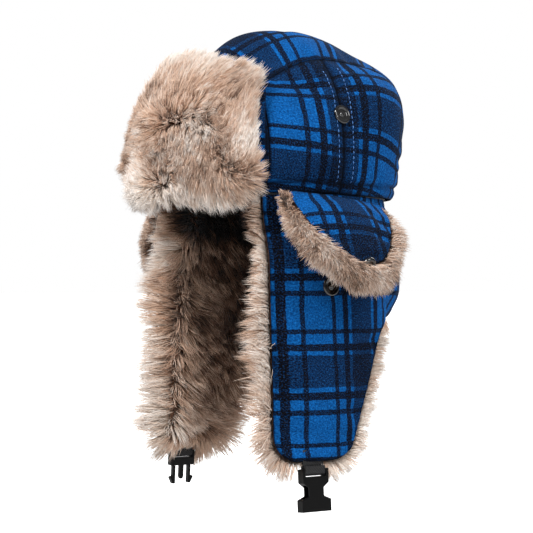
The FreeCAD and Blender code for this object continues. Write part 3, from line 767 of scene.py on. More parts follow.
def flap_grain(grid):
    """Cloth coordinates of an earflap: its columns spread in front and its rows roll under the hem."""
    back = np.where(grid[..., 1] < -FLAP_FRONT_STRIP,
                    -FLAP_FRONT_STRIP + 0.66 * (grid[..., 1] + FLAP_FRONT_STRIP), grid[..., 1])
    hem = smooth_step((-grid[..., 2] - 188) / 22)
    rows = grid[..., 2] * FLAP_ROW_SCALE + FLAP_ROW_START - HEM_ROLL * hem
    return np.stack([back * FLAP_COLUMN_SCALE + FLAP_COLUMN_START, rows], -1)


def thumb_dents(grid, depth, cell, seed):
    """Slow hollows and swellings of padded cloth."""
    return (value_noise(grid, cell, seed) - 0.5)[..., None] * depth


def make_flap_cloth(side, full, rest, outward, shade):
    piece = cloth_piece("%s_flap_cloth" % side, full, rest, outward, CLOTH, flap_grain(rest), shade, PLAID)
    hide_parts("%s_flap_shell" % side, "%s_flap_padding" % side)
    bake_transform(piece)
    return piece


def make_flaps():
    """Earflap cloths, padded and pinched round the snap."""
    rest = flap_grid(0)
    full = puff(rest, -1, 4)
    full = full - grid_normals(rest) * thumb_dents(rest, 2.0, 45, 5)
    full = pinched(full, rest, flap_stud_place()[0], 9)
    # painted shade along the seams
    shade = seam_painted_shade(rest, skip=(), reach=1.4)
    for side, grid, base, outward in (("left", full, rest, 1), ("right", mirrored(full), mirrored(rest), -1)):
        make_flap_cloth(side, grid, base, -outward, shade)


def neck_grain(grid, columns):
    spans = arc_spans(grid)
    across = spans[0] - spans[0][[grid.shape[0] // 2]]
    return np.stack([across + columns, grid[..., 2] * FLAP_ROW_SCALE + FLAP_ROW_START], -1)


def make_neck():
    rest = neck_grid(0)
    outward = 1 if grid_normals(rest)[60, 10, 1] > 0 else -1
    full = puff(rest, outward, 4)
    full = full + outward * grid_normals(rest) * thumb_dents(rest, 2.5, 40, 9)
    # painted shade along the seams
    shade = seam_painted_shade(rest, reach=1.4)
    piece = cloth_piece("neck_cloth", full, rest, outward, CLOTH, neck_grain(rest, 12), shade, PLAID)
    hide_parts("neck_shell", "neck_padding")
    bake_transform(piece)
    return piece


# ---------------------------------------------------------------- visor

def visor_grid(extra, margin, columns=56, rows=44, end_back=VISOR_END_BACK):
    """Visor surface from one end round the front to the other; second direction runs up."""
    plan = [value + extra for value in VISOR_PLAN]
    limit = math.acos((end_back - margin) / plan[1])
    turn = limit * (2 * packed_ends(columns, 0.5) - 1)
    side = (plan[0] + 0) * np.sin(turn)
    beyond = np.clip((np.abs(side) - VISOR_FLAT) / VISOR_TOP_SPAN, 0, 1)
    top = VISOR_TOP + margin - VISOR_TOP_CORNER * (1 - np.sqrt(1 - beyond ** 2))
    end_side = plan[0] * math.sin(limit)
    low_gap = np.clip((np.abs(side) - end_side + VISOR_LOW_CORNER) / VISOR_LOW_CORNER, 0, 1)
    low = VISOR_BOTTOM - margin + VISOR_LOW_CORNER * (1 - np.sqrt(1 - 0.98 * low_gap ** 2))
    up = packed_ends(rows, 0.4)
    height = low[:, None] + (top - low)[:, None] * up[None, :]
    shrink = np.sqrt(np.maximum(1 - ((height - WIDEST_LEVEL) / plan[2]) ** 2, 0))
    return np.stack([plan[0] * shrink * np.sin(turn)[:, None],
                     -plan[1] * shrink * np.cos(turn)[:, None], height], -1)


def make_visor_backing():
    rest = visor_grid(-1, 0)
    inner = visor_grid(-3.6, 0)
    # painted shade along the seams
    shade = seam_painted_shade(rest)
    flat = np.stack([arc_spans(rest)[0], rest[..., 2]], -1)
    piece = slab("visor_backing_cloth", rest, inner, flat, shade)
    refine(piece)
    piece.data.materials.append(PLAID)
    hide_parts("visor_backing")
    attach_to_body(piece, "visor")
    return piece


# ---------------------------------------------------------------- ear covers

def cover_axes():
    """Left ear cover's own frame: along the fold, up the cloth, and out of its face."""
    fold = unit(COVER_AXIS if COVER_AXIS[1] > 0 else -COVER_AXIS)
    down = unit(np.cross(np.array([1.0, 0, 0]), fold))
    down = down if down[2] < 0 else -down
    side = np.array([1.0, 0, 0])
    reach = down * math.cos(COVER_OPEN) + side * math.sin(COVER_OPEN)
    out = side * math.cos(COVER_OPEN) - down * math.sin(COVER_OPEN)
    return fold, reach, out


def place_cover(along, reach, out):
    """From distances along the fold, away from it and off the cloth to a place in the hat."""
    fold_axis, reach_axis, out_axis = cover_axes()
    return (COVER_HINGE + along[..., None] * fold_axis + reach[..., None] * reach_axis
            + out[..., None] * out_axis)


def cover_grid(margin, columns=40, rows=34, lift=0.0, bulge=COVER_BULGE):
    """Half-moon grid: the first direction runs back along the fold, the second away from it."""
    half_width = COVER_HALF_WIDTH + margin
    length = COVER_REACH + margin
    share = 2 * packed_ends(columns, 0.85) - 1
    depth = length * np.sqrt(np.maximum(1 - (share * 0.995) ** 2, 0.001))
    down = packed_ends(rows, 0.3)
    reach = depth[:, None] * down[None, :]
    along = np.repeat((half_width * share)[:, None], rows, axis=1)
    along = along * (1 - 0.05 * (reach / length)) * np.where(along > 0, 0.85, 1.0)
    dome = np.maximum(1 - (along / half_width) ** 2 - (reach / length) ** 2, 0) ** 0.6
    rise = smooth_step(reach / 26)
    out = 2 + lift + bulge * dome * (0.25 + 0.75 * rise)
    return along, reach, out


def make_cover_cloth():
    along, reach, out = cover_grid(0)
    rest = place_cover(along, reach, out)
    outward = 1 if np.dot(grid_normals(rest)[20, 10], cover_axes()[2]) > 0 else -1
    full = puff(rest, outward, 4)
    full = pinched(full, rest, cover_snap_place()[0], 8)
    flat = np.stack([along + COVER_COLUMN_START, reach + COVER_ROW_START], -1)
    # painted shade along the seams
    shade = seam_painted_shade(rest, skip=(), reach=1.4)
    for side, grid, base, facing in (("left", full, rest, outward),
                                     ("right", mirrored(full), mirrored(rest), -outward)):
        piece = cloth_piece("%s_cover_cloth" % side, grid, base, facing, 3.4, flat, shade, PLAID)
        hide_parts("%s_cover_shell" % side)
        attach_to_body(piece, "%s_ear_cover" % side)


# ---------------------------------------------------------------- fur

STRAND_RINGS = (0.0, 0.4, 0.75)
STRAND_TAPER = (1.0, 0.85, 0.5)


def scatter(grid, whole, first_row, count, rng, edge_share, edge_only):
    """Random places on a grid, denser near the whole piece's border or only there, fold side left out."""
    corner_a, corner_b = grid[:-1, :-1], grid[1:, :-1]
    corner_c, corner_d = grid[1:, 1:], grid[:-1, 1:]
    area = np.linalg.norm(np.cross(corner_c - corner_a, corner_d - corner_b), axis=-1) / 2
    first, last, _, free = arc_spans(whole)
    border = np.minimum(np.minimum(first, last), free)[first_row:first_row + grid.shape[0]]
    middle = (border[:-1, :-1] + border[1:, 1:]) / 2
    weight = area * (1 + edge_share * np.exp(-middle / 8))
    if edge_only:
        weight = area * (middle < 6)
    chosen = rng.choice(area.size, size=count, p=(weight / weight.sum()).ravel())
    row, column = np.unravel_index(chosen, area.shape)
    return row + rng.random(count), column + rng.random(count)


def read_grid(values, rows, columns):
    """Values of a grid at fractional rows and columns."""
    row = np.clip(rows.astype(int), 0, values.shape[0] - 2)
    column = np.clip(columns.astype(int), 0, values.shape[1] - 2)
    part_row = rows - row
    part_column = columns - column
    if values.ndim == 3:
        part_row = part_row[:, None]
        part_column = part_column[:, None]
    return (values[row, column] * (1 - part_row) * (1 - part_column)
            + values[row + 1, column] * part_row * (1 - part_column)
            + values[row + 1, column + 1] * part_row * part_column
            + values[row, column + 1] * (1 - part_row) * part_column)


def clump_ids(roots, guides):
    """Number of the nearest guide to each root, worked out in blocks."""
    nearest = np.zeros(len(roots), int)
    block = 2000
    for start in range(0, len(roots), block):
        part = roots[start:start + block]
        gap = ((part[:, None, :] - guides[None, :, :]) ** 2).sum(-1)
        nearest[start:start + block] = gap.argmin(1)
    return nearest


def strand_mesh(name, roots, aims, bends, radii, shades):
    """Closed three-sided spikes. aims reach from root to tip; bends bow them over."""
    count = len(roots)
    heading = unit(aims)
    helper = np.where(np.abs(heading[:, [2]]) > 0.8, [[1.0, 0, 0]], [[0, 0, 1.0]])
    across = unit(np.cross(heading, helper))
    beside = np.cross(heading, across)
    points = np.zeros((count, 10, 3))
    for ring, (share, taper) in enumerate(zip(STRAND_RINGS, STRAND_TAPER)):
        centre = roots + aims * share + bends * share ** 2
        for corner in range(3):
            turn = 2 * math.pi * corner / 3
            offset = across * math.cos(turn) + beside * math.sin(turn)
            points[:, ring * 3 + corner] = centre + offset * (radii * taper)[:, None]
    points[:, 9] = roots + aims + bends
    base = np.arange(count)[:, None] * 10
    quads, quad_uv, tris, tri_uv = [], [], [], []
    half = 0.006
    left, right = shades - half, shades + half
    for ring in range(2):
        low, high = STRAND_RINGS[ring], STRAND_RINGS[ring + 1]
        for corner in range(3):
            onward = (corner + 1) % 3
            face = np.array([[ring * 3 + corner, ring * 3 + onward,
                              ring * 3 + 3 + onward, ring * 3 + 3 + corner]])
            quads.append(base + face)
            quad_uv.append(corner_uv(left, right, (low, low, high, high)))
    for corner in range(3):
        onward = (corner + 1) % 3
        tris.append(base + np.array([[6 + corner, 6 + onward, 9]]))
        tri_uv.append(corner_uv(left, right, (STRAND_RINGS[2], STRAND_RINGS[2], 1.0)))
    tris.append(base + np.array([[2, 1, 0]]))
    tri_uv.append(corner_uv(left, right, (0.0, 0.0, 0.02)))
    uv = np.concatenate([np.concatenate(quad_uv).reshape(-1, 2), np.concatenate(tri_uv).reshape(-1, 2)])
    return make_mesh(name, points.reshape(-1, 3), np.concatenate(quads), np.concatenate(tris), uv, "OFBake")


def corner_uv(left, right, levels):
    """Coordinates of a strand face's corners: shade across, root to tip upward."""
    sides = [left, right, right, left] if len(levels) == 4 else [left, right, (left + right) / 2]
    return np.stack([np.stack([side, np.full(len(side), level)], -1)
                     for side, level in zip(sides, levels)], 1)


def grow_fur(name, grid, facing, count, body, style, seed):
    """Fur on a grid. style gives lift off the skin, flow, edge lean, length, shade and so on."""
    rng = np.random.default_rng(seed)
    whole, first_row = style.get("whole", (grid, 0))
    rows, columns = scatter(grid, whole, first_row, count, rng, style.get("edge_share", 1.0),
                            style.get("edge_only", False))
    normals = facing * grid_normals(grid)
    down = unit(np.gradient(grid, axis=0))
    along = unit(np.gradient(grid, axis=1))
    roots = read_grid(grid, rows, columns)
    skin = unit(read_grid(normals, rows, columns))
    first = unit(read_grid(down, rows, columns))
    second = unit(read_grid(along, rows, columns))
    spans = [read_grid(span, rows + first_row, columns) for span in arc_spans(whole)]
    lean = np.zeros_like(roots)
    edges = ((spans[0], -first), (spans[1], first), (spans[2], -second), (spans[3], second))
    nearness = np.zeros(count)
    for (span, outward), strength in zip(edges, style["edges"]):
        push = strength * np.exp(-span / style.get("edge_reach", 9.0))
        lean += outward * push[:, None]
        nearness = np.maximum(nearness, np.exp(-span / style.get("edge_reach", 9.0)) * (strength > 0))
    swirl_first = value_noise(roots, style.get("swirl_cell", 38), seed) - 0.5
    swirl_second = value_noise(roots, style.get("swirl_cell", 38), seed + 1) - 0.5
    swirl = style.get("swirl", 0.8)
    flow = style["flow"](roots, first, second, spans)
    aim = (skin * style["lift"] + lean + flow
           + first * (swirl_first * swirl)[:, None] + second * (swirl_second * swirl)[:, None])
    aim = unit(aim)
    jitter = rng.normal(size=(count, 3)) * style.get("jitter", 0.16)
    aim = unit(aim + jitter)
    length = style["length"] * (0.72 + 0.5 * rng.random(count)) * (0.8 + 0.4 * value_noise(roots, 16, seed + 2))
    if "trim" in style:
        length = length * style["trim"](roots, spans)
    aims = aim * length[:, None]
    bends = np.zeros_like(aims)
    bends[:, 2] -= style.get("droop", 0.12) * length
    settled = smooth_step(np.minimum.reduce(spans) / 12)
    bends -= skin * (style.get("settle", 0.18) * settled * length)[:, None]
    # no tip ends lower than a share of its length above the skin it grows from
    height = ((aims + bends) * skin).sum(-1) - style.get("clear", 0) * length
    bends -= skin * np.minimum(height, 0)[:, None]
    guide_count = max(count // style.get("per_clump", 24), 8)
    guides = rng.choice(count, guide_count, replace=False)
    nearest = clump_ids(roots, roots[guides])
    guide_tip = (roots + aims + bends)[guides][nearest]
    own_tip = roots + aims + bends
    clump = style.get("clump", 0.55) * (0.7 + 0.3 * rng.random(guide_count))[nearest]
    bends = bends + (guide_tip - own_tip) * clump[:, None]
    clump_shade = rng.normal(size=guide_count)[nearest]
    patch = value_noise(roots, style.get("patch_cell", 30), seed + 4) - 0.5
    shade = (style["shade"](roots, spans, nearness) + style.get("patch", 0.45) * patch
             + 0.10 * clump_shade + style.get("fleck", 0.06) * rng.normal(size=count))
    shade = np.clip(shade, 0.02, 0.98)
    radii = style.get("radius", 0.42) * (0.7 + 0.6 * rng.random(count))
    thing = strand_mesh(name, roots, aims, bends, radii, shade)
    thing.data.materials.append(FUR)
    return attach(thing, body)


def attach(thing, body):
    """Ride on one body when given its name; otherwise stay unattached, with the transform baked into the mesh.
    """
    if isinstance(body, str):
        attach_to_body(thing, body)
        return thing
    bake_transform(thing)
    return thing


def pelt(name, front, back, body, nodes):
    """Knitted backing of the fur, as a closed solid."""
    thing = slab(name, front, back, np.zeros(front.shape[:2] + (2,)))
    thing.data.materials.append(PELT)
    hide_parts(*nodes)
    return attach(thing, body)


def rounded(grid, toward, thick, rim=7.0):
    """Grid moved off its surface by a thickness that falls to nothing at the border."""
    border = border_distance(grid)
    swell = np.sqrt(1 - (1 - np.clip(border / rim, 0, 1)) ** 2)
    return grid + toward * grid_normals(grid) * (thick * swell)[..., None]


def no_flow(roots, first, second, spans):
    return np.zeros_like(roots)


def make_visor_fur():
    """Visor pelt and its fur, grown in four pieces across the visor."""
    base = visor_grid(-1.5, 0, end_back=76)
    outward = 1 if grid_normals(base)[28, 20, 1] < 0 else -1
    front = rounded(base, outward, 3.5)
    pelt("visor_pelt", front, base - outward * grid_normals(base) * 0.2, "visor", ["visor_fur"])

    def flow(roots, first, second, spans):
        # combed up above the middle and down below it, and all of it towards the wearer's left
        height = (roots[:, 2] - 25) / 35
        return second * (0.6 * np.tanh(height))[:, None] + first * 0.2

    def shade(roots, spans, nearness):
        top = smooth_step((roots[:, 2] - 70) / 45)
        low = smooth_step((20 - roots[:, 2]) / 25)
        return 0.67 + 0.15 * top + 0.34 * low + 0.08 * nearness

    style = {"lift": 0.3, "flow": flow, "length": 20, "shade": shade, "swirl": 1.7, "swirl_cell": 40,
             "patch": 0.62, "patch_cell": 24, "droop": 0.04, "fleck": 0.09, "clear": 0.15, "clump": 0.66, "per_clump": 18,
             "edge_reach": 10.0, "radius": 0.36, "edge_share": 0.5}
    quarters = (("right_end", 0, 15, 0.3, 0.0), ("right", 14, 29, 0.0, 0.0),
                ("left", 28, 43, 0.0, 0.0), ("left_end", 42, 56, 0.0, 0.25))
    for number, (part, start, stop, right_lean, left_lean) in enumerate(quarters):
        edged = dict(style, edges=(right_lean, left_lean, 0.2, 0.5), whole=(front, start))
        grow_fur("visor_fur_%s" % part, front[start:stop], outward, 11000, "visor", edged, SEED)


def make_flap_fur():
    """Fur lining of both earflaps: dark down the middle and tan round the edges."""
    base = flap_grid(0)
    toward = 1 if grid_normals(base)[20, 40, 0] < 0 else -1
    skin = base + toward * grid_normals(base) * 5
    front = rounded(skin, toward, 13, 15)
    for side, sign in (("left", 1), ("right", -1)):
        body = (FLAP_AXIS * np.array([sign, 1, 1]), "%s_earflap" % side)
        turned = (lambda grid: grid) if sign > 0 else mirrored
        facing = toward * sign
        front_growth = 0.72 if sign > 0 else 0.6
        rear_growth = -0.15 if sign > 0 else 0.95

        def flow(roots, first, second, spans):
            centre = (spans[0] - spans[1]) / (spans[0] + spans[1])
            return first * (0.9 * centre ** 3)[:, None] + second * 0.3

        def shade(roots, spans, nearness):
            edge = np.exp(-spans[0] / 26) + np.exp(-spans[1] / 24) + 0.7 * np.exp(-spans[3] / 30)
            tan = 0.1 + 0.78 * np.clip(edge, 0, 1)
            # painted shade: fur near the fold, under the crown, turns near black, except along the front edge
            lit = np.maximum(smooth_step((-roots[:, 2] - 12) / 34), np.exp(-spans[0] / 12))
            return tan * lit - 0.2 * (1 - lit)

        def trim(roots, spans):
            # long at the front edge and low down, short beside the neck curtain and over the strap
            low = smooth_step((-roots[:, 2] - 40) / 70)
            front = (front_growth * low - 0.15) * np.exp(-spans[0] / 16)
            full = 1 + front + rear_growth * low * np.exp(-spans[1] / 16)
            beside_neck = smooth_step((20 - spans[1]) / 8) * smooth_step((roots[:, 2] + NECK_DROP + 16) / 10)
            at_strap = smooth_step((15 - np.abs(roots[:, 1] + STRAP_CENTRE)) / 5)
            at_strap = at_strap * smooth_step((-roots[:, 2] - FLAP_DROP + 22) / 8)
            return full * (1 - np.maximum(0.9 * beside_neck, 0.72 * at_strap))

        style = {"lift": 0.8, "flow": flow, "edges": (1.2, 1.1, 0.0, 1.2), "length": 22, "shade": shade,
                 "swirl": 1.0, "patch": 0.34, "patch_cell": 24, "droop": 0.08, "settle": 0.03, "jitter": 0.17,
                 "clump": 0.6, "per_clump": 16, "edge_reach": 15.0, "edge_share": 1.6, "radius": 0.38,
                 "trim": trim}
        pelt("%s_flap_pelt" % side, turned(front), turned(skin), body, ["%s_flap_fur" % side])
        for part, start, stop in (("front", 0, 21), ("rear", 20, 40)):
            kept = np.array(style["edges"]) * ((start == 0), (start > 0), 1, 1)
            grow_fur("%s_flap_fur_%s" % (side, part), turned(front[start:stop]), facing, 9500, body,
                     dict(style, edges=tuple(kept), whole=(front, start)), SEED + 5)


def make_neck_fur():
    base = neck_grid(-1)
    outward = 1 if grid_normals(base)[60, 10, 1] > 0 else -1
    skin = base - outward * grid_normals(base) * 5
    front = rounded(skin, -outward, 10, 4.5)
    body = (NECK_AXIS, "neck_flap")
    pelt("neck_pelt", front, skin, body, ["neck_fur"])

    def flow(roots, first, second, spans):
        return second * 0.6

    def shade(roots, spans, nearness):
        return 0.34 + 0.3 * np.exp(-spans[3] / 22)

    style = {"lift": 0.75, "flow": flow, "edges": (0.2, 0.2, 0.0, 1.2), "length": 19, "shade": shade,
             "patch": 0.34, "droop": 0.15, "clump": 0.6, "radius": 0.45, "edge_share": 0.8}
    grow_fur("neck_fur_pile", front, -outward, 11000, body, style, SEED + 8)


def make_cover_fur():
    """Fur behind each ear cover, standing out round the half-moon."""
    along, reach, out = cover_grid(4, lift=-5.5, bulge=COVER_BULGE - 1)
    base = place_cover(along, reach, out)
    outward = 1 if np.dot(grid_normals(base)[20, 10], cover_axes()[2]) > 0 else -1
    along_low, reach_low, out_low = cover_grid(4, lift=-5.5, bulge=2)
    under = place_cover(along_low, reach_low, out_low - 7 * smooth_step(reach_low / 40))
    share = np.linspace(0, 1, 5)[None, :, None]
    rim = base[:, -1][:, None] * (1 - share) + under[:, -1][:, None] * share
    rim_outward = 1 if np.dot(grid_normals(rim)[20, 2], cover_axes()[1]) > 0 else -1
    for side, sign in (("left", 1), ("right", -1)):
        turned = (lambda grid: grid) if sign > 0 else mirrored
        body = "%s_ear_cover" % side
        front_cut = 0.0 if sign > 0 else 0.5
        pelt("%s_cover_pelt" % side, turned(base), turned(under), body, ["%s_cover_fur" % side])

        def flow(roots, first, second, spans):
            return second * 0.5

        def shade(roots, spans, nearness):
            return 0.5 + 0.08 * nearness

        def rim_trim(roots, spans):
            at_front = max(front_cut, 0.45)
            return 1 - at_front * np.exp(-spans[0] / 20) - 0.4 * np.exp(-spans[1] / 24)

        def trim(roots, spans):
            near_fold = 0.45 + 0.55 * smooth_step(spans[2] / 22)
            return near_fold * (1 - front_cut * np.exp(-spans[0] / 14) - 0.4 * np.exp(-spans[1] / 14))

        style = {"lift": 0.55, "flow": flow, "edges": (1.6, 1.0, 0.0, 1.5), "length": 15, "shade": shade,
                 "patch": 0.5, "patch_cell": 14, "droop": 0.1, "clump": 0.55, "per_clump": 20,
                 "edge_reach": 7.0, "edge_share": 2.0, "radius": 0.4, "fleck": 0.2, "trim": trim}
        grow_fur("%s_cover_fur_pile" % side, turned(under), -outward * sign, 9000, body, style, SEED + 12)
        edge = dict(style, edges=(1.0, 0.8, 0.0, 1.0), edge_only=True, edge_reach=5.0, lift=1.0, length=17,
                    swirl=0.9, patch=0.6, settle=0.0, jitter=0.26)
        grow_fur("%s_cover_fur_trim" % side, turned(base), outward * sign, 9000, body, edge, SEED + 14)
        side_fur = dict(style, edges=(0.0, 0.0, 0.0, 0.0), edge_share=0.0, lift=1.0, length=16, swirl=0.7,
                        settle=0.0, jitter=0.3, flow=no_flow, trim=rim_trim)
        grow_fur("%s_cover_fur_rim" % side, turned(rim), rim_outward * sign, 7000, body, side_fur, SEED + 16)


# ---------------------------------------------------------------- snaps, straps and buckle

def turned_profile(name, profile, sides=40):
    """Closed solid turned about Z from pairs of radius and height, both ends on the axis."""
    points = [[0, 0, profile[0][1]]]
    for radius, height in profile[1:-1]:
        for step in range(sides):
            turn = 2 * math.pi * step / sides
            points.append([radius * math.cos(turn), radius * math.sin(turn), height])
    points.append([0, 0, profile[-1][1]])
    rings = len(profile) - 2
    quads, tris = [], []
    for step in range(sides):
        onward = (step + 1) % sides
        tris.append([0, 1 + step, 1 + onward])
        last = 1 + (rings - 1) * sides
        tris.append([len(points) - 1, last + onward, last + step])
        for ring in range(rings - 1):
            low = 1 + ring * sides
            quads.append([low + step, low + sides + step, low + sides + onward, low + onward])
    return face_outward(make_mesh(name, np.array(points), np.array(quads), np.array(tris)))


STUD_PROFILE = ((0, 1.9), (1.1, 1.9), (1.7, 1.55), (1.9, 0.9), (2.6, 0.75), (4.1, 0.8), (4.7, 1.15),
                (5.3, 1.75), (6.1, 2.05), (6.9, 1.85), (7.4, 1.2), (7.5, 0.3), (7.2, -0.2), (0, -0.2))
SOCKET_PROFILE = ((0, 1.2), (2.5, 1.2), (2.9, 1.4), (3.1, 2.5), (3.5, 3.1), (4.4, 3.3), (5.6, 3.1),
                  (6.6, 2.5), (7.3, 1.5), (7.5, 0.5), (7.2, -0.2), (0, -0.2))


def crown_stud_place():
    """Place on the left of the crown and outward direction of the snap stud."""
    tilt = math.asin(abs(COVER_AXIS[2]))
    height = STUD_REACH * math.cos(tilt) + COVER_HINGE[2]
    back = STUD_REACH * math.sin(tilt)
    side = float(crown_side(np.array(back), np.array(height)))
    out = unit(np.array([side / CROWN_HALF_WIDTH ** 2, back / CROWN_HALF_LENGTH ** 2,
                         (height - WIDEST_LEVEL) / (CROWN_TOP - WIDEST_LEVEL) ** 2]))
    return fuller(np.array([side, back, height])), out


def flap_stud_place():
    tilt = math.asin(abs(COVER_AXIS[2]))
    spot = np.array([[FLAP_PLAN[0], -STUD_REACH * math.sin(tilt),
                      -STUD_REACH * math.cos(tilt) + COVER_HINGE[2]]])
    return splayed(spot)[0], np.array([math.cos(FLAP_SPLAY), 0, math.sin(FLAP_SPLAY)])


def cover_snap_place():
    """Place on the left ear cover's domed cloth, near its tip, and the outward direction there."""
    spot = place_cover(np.array(0.0), np.array(float(SOCKET_REACH)), np.array(COVER_SNAP_LIFT))
    fold_axis, reach_axis, out_axis = cover_axes()
    return spot, unit(out_axis + COVER_SNAP_LEAN * reach_axis)


def set_on(thing, spot, out):
    turn = Vector(out).to_track_quat("Z", "Y").to_matrix().to_4x4()
    thing.data.transform(Matrix.Translation(Vector(spot * MM)) @ turn)
    return thing


def make_snap(name, profile, spot, out, body, nodes, scale=SNAP_SCALE):
    scaled = [(radius * scale, height * scale) for radius, height in profile]
    piece = set_on(turned_profile(name, scaled), spot + out * 0.5, out)
    refine(piece)
    piece.data.materials.append(SNAP)
    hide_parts(*nodes)
    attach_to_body(piece, body)
    return piece


def make_snaps():
    flip = np.array([-1, 1, 1])
    spot, out = crown_stud_place()
    make_snap("crown_left_snap", STUD_PROFILE, spot, out, "crown", ["crown_snap_studs"])
    make_snap("crown_right_snap", STUD_PROFILE, spot * flip, out * flip, "crown", ["crown_snap_plates"])
    flap_spot, flap_out = flap_stud_place()
    cover_spot, cover_out = cover_snap_place()
    for side, sign in (("left", np.array([1, 1, 1])), ("right", flip)):
        make_snap("%s_flap_snap" % side, STUD_PROFILE, flap_spot * sign, flap_out * sign,
                  "%s_earflap" % side, ["%s_flap_snap_stud" % side, "%s_flap_snap_plate" % side])
        make_snap("%s_cover_snap" % side, SOCKET_PROFILE, cover_spot * sign, cover_out * sign,
                  "%s_ear_cover" % side, ["%s_cover_snap_socket" % side, "%s_cover_snap_plate" % side],
                  SOCKET_SCALE)


def dress_frame_node(node, material, bevel=0.0):
    """Keep a frame node's own shape, give it a finish and soften its edges."""
    thing = frame["nodes"][node]
    if not thing.data.materials:
        thing.data.materials.append(material)
    for slot in thing.material_slots:
        slot.material = material
    if bevel:
        weld = thing.modifiers.new("weld", "WELD")
        weld.merge_threshold = 0.00001
        edge = thing.modifiers.new("edge", "BEVEL")
        edge.width = bevel * MM
        edge.segments = 2
        edge.limit_method = "ANGLE"
        edge.angle_limit = math.radians(35)


def make_strap_roots():
    """Ribbed webbing sewn into each hem, down to where the strap's own loop begins."""
    low, high = corners("left_strap_webbing")
    hinge = joint("left_strap_swing")[0]
    across = np.linspace(low[1], high[1], 41)
    height = np.linspace(STRAP_ROOT_TOP, high[2] - 1.2, 9)
    back, level = np.meshgrid(across, height, indexing="ij")
    lean = (hinge[2] - level) * math.tan(FLAP_SPLAY)
    half = STRAP_THICK / 2 + 0.12 * np.cos(2 * math.pi * (back - low[1]) / 2.5)
    outer = np.stack([hinge[0] + lean + half, back, level], -1)
    inner = np.stack([hinge[0] + lean - half, back, level], -1)
    for side, turned in (("left", lambda grid: grid), ("right", mirrored)):
        piece = slab("%s_strap_root" % side, turned(outer), turned(inner))
        piece.data.materials.append(WEBBING)
        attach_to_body(piece, "%s_earflap" % side)


def make_buckle():
    for node in ("buckle_socket", "buckle_plug", "buckle_arm_rear", "buckle_arm_front"):
        dress_frame_node(node, PLASTIC, 0.45)
    for side in ("left", "right"):
        dress_frame_node("%s_strap_webbing" % side, WEBBING)


# ---------------------------------------------------------------- materials

def shade_node(tree, kind, inputs=None, **settings):
    """Add a shader node, set its properties, and set or link its inputs by name or number."""
    node = tree.nodes.new(kind)
    for name, value in settings.items():
        setattr(node, name, value)
    for name, value in (inputs or {}).items():
        socket = node.inputs[name]
        if isinstance(value, bpy.types.NodeSocket):
            tree.links.new(value, socket)
        else:
            socket.default_value = value
    return node


def start_material(name, **principled):
    material = bpy.data.materials.new(name)
    material.use_nodes = True
    tree = material.node_tree
    surface = tree.nodes["Principled BSDF"]
    for key, value in principled.items():
        surface.inputs[key.replace("_", " ")].default_value = value
    return material, tree, surface


def calculate(tree, operation, *values):
    inputs = dict(enumerate(values))
    return shade_node(tree, "ShaderNodeMath", inputs, operation=operation).outputs[0]


def mix_colour(tree, share, first, second, blend="MIX"):
    node = shade_node(tree, "ShaderNodeMix", data_type="RGBA", blend_type=blend)
    for number, value in ((0, share), (6, first), (7, second)):
        if isinstance(value, bpy.types.NodeSocket):
            tree.links.new(value, node.inputs[number])
        else:
            node.inputs[number].default_value = value
    return node.outputs[2]


def colour(red, green, blue):
    """Screen colour from 0 to 255 as a linear colour."""
    linear = []
    for value in (red, green, blue):
        share = value / 255
        linear.append(share / 12.92 if share <= 0.04045 else ((share + 0.055) / 1.055) ** 2.4)
    return tuple(linear) + (1.0,)


def ramp(tree, value, stops, interpolation="LINEAR"):
    """Colour ramp with stops given as pairs of place and colour."""
    node = shade_node(tree, "ShaderNodeValToRGB", {0: value})
    elements = node.color_ramp.elements
    node.color_ramp.interpolation = interpolation
    while len(elements) < len(stops):
        elements.new(1.0)
    for element, (place, shade) in zip(elements, stops):
        element.position = place
        element.color = shade
    return node.outputs[0]


REPEAT = 96.0
# stripes of one repeat of the plaid, in order: width in millimetres and how dark the yarn is
STRIPES = ((27, 0.0), (4, 0.93), (8, 0.0), (6, 1.0), (3.5, 0.0), (26, 0.8), (3.5, 0.0), (6, 1.0), (8, 0.0),
           (4, 0.93))


def stripe_stops():
    stops = []
    place = 0.0
    for width, dark in STRIPES:
        stops.append((place / REPEAT, (dark, dark, dark, 1.0)))
        place += width
    return stops


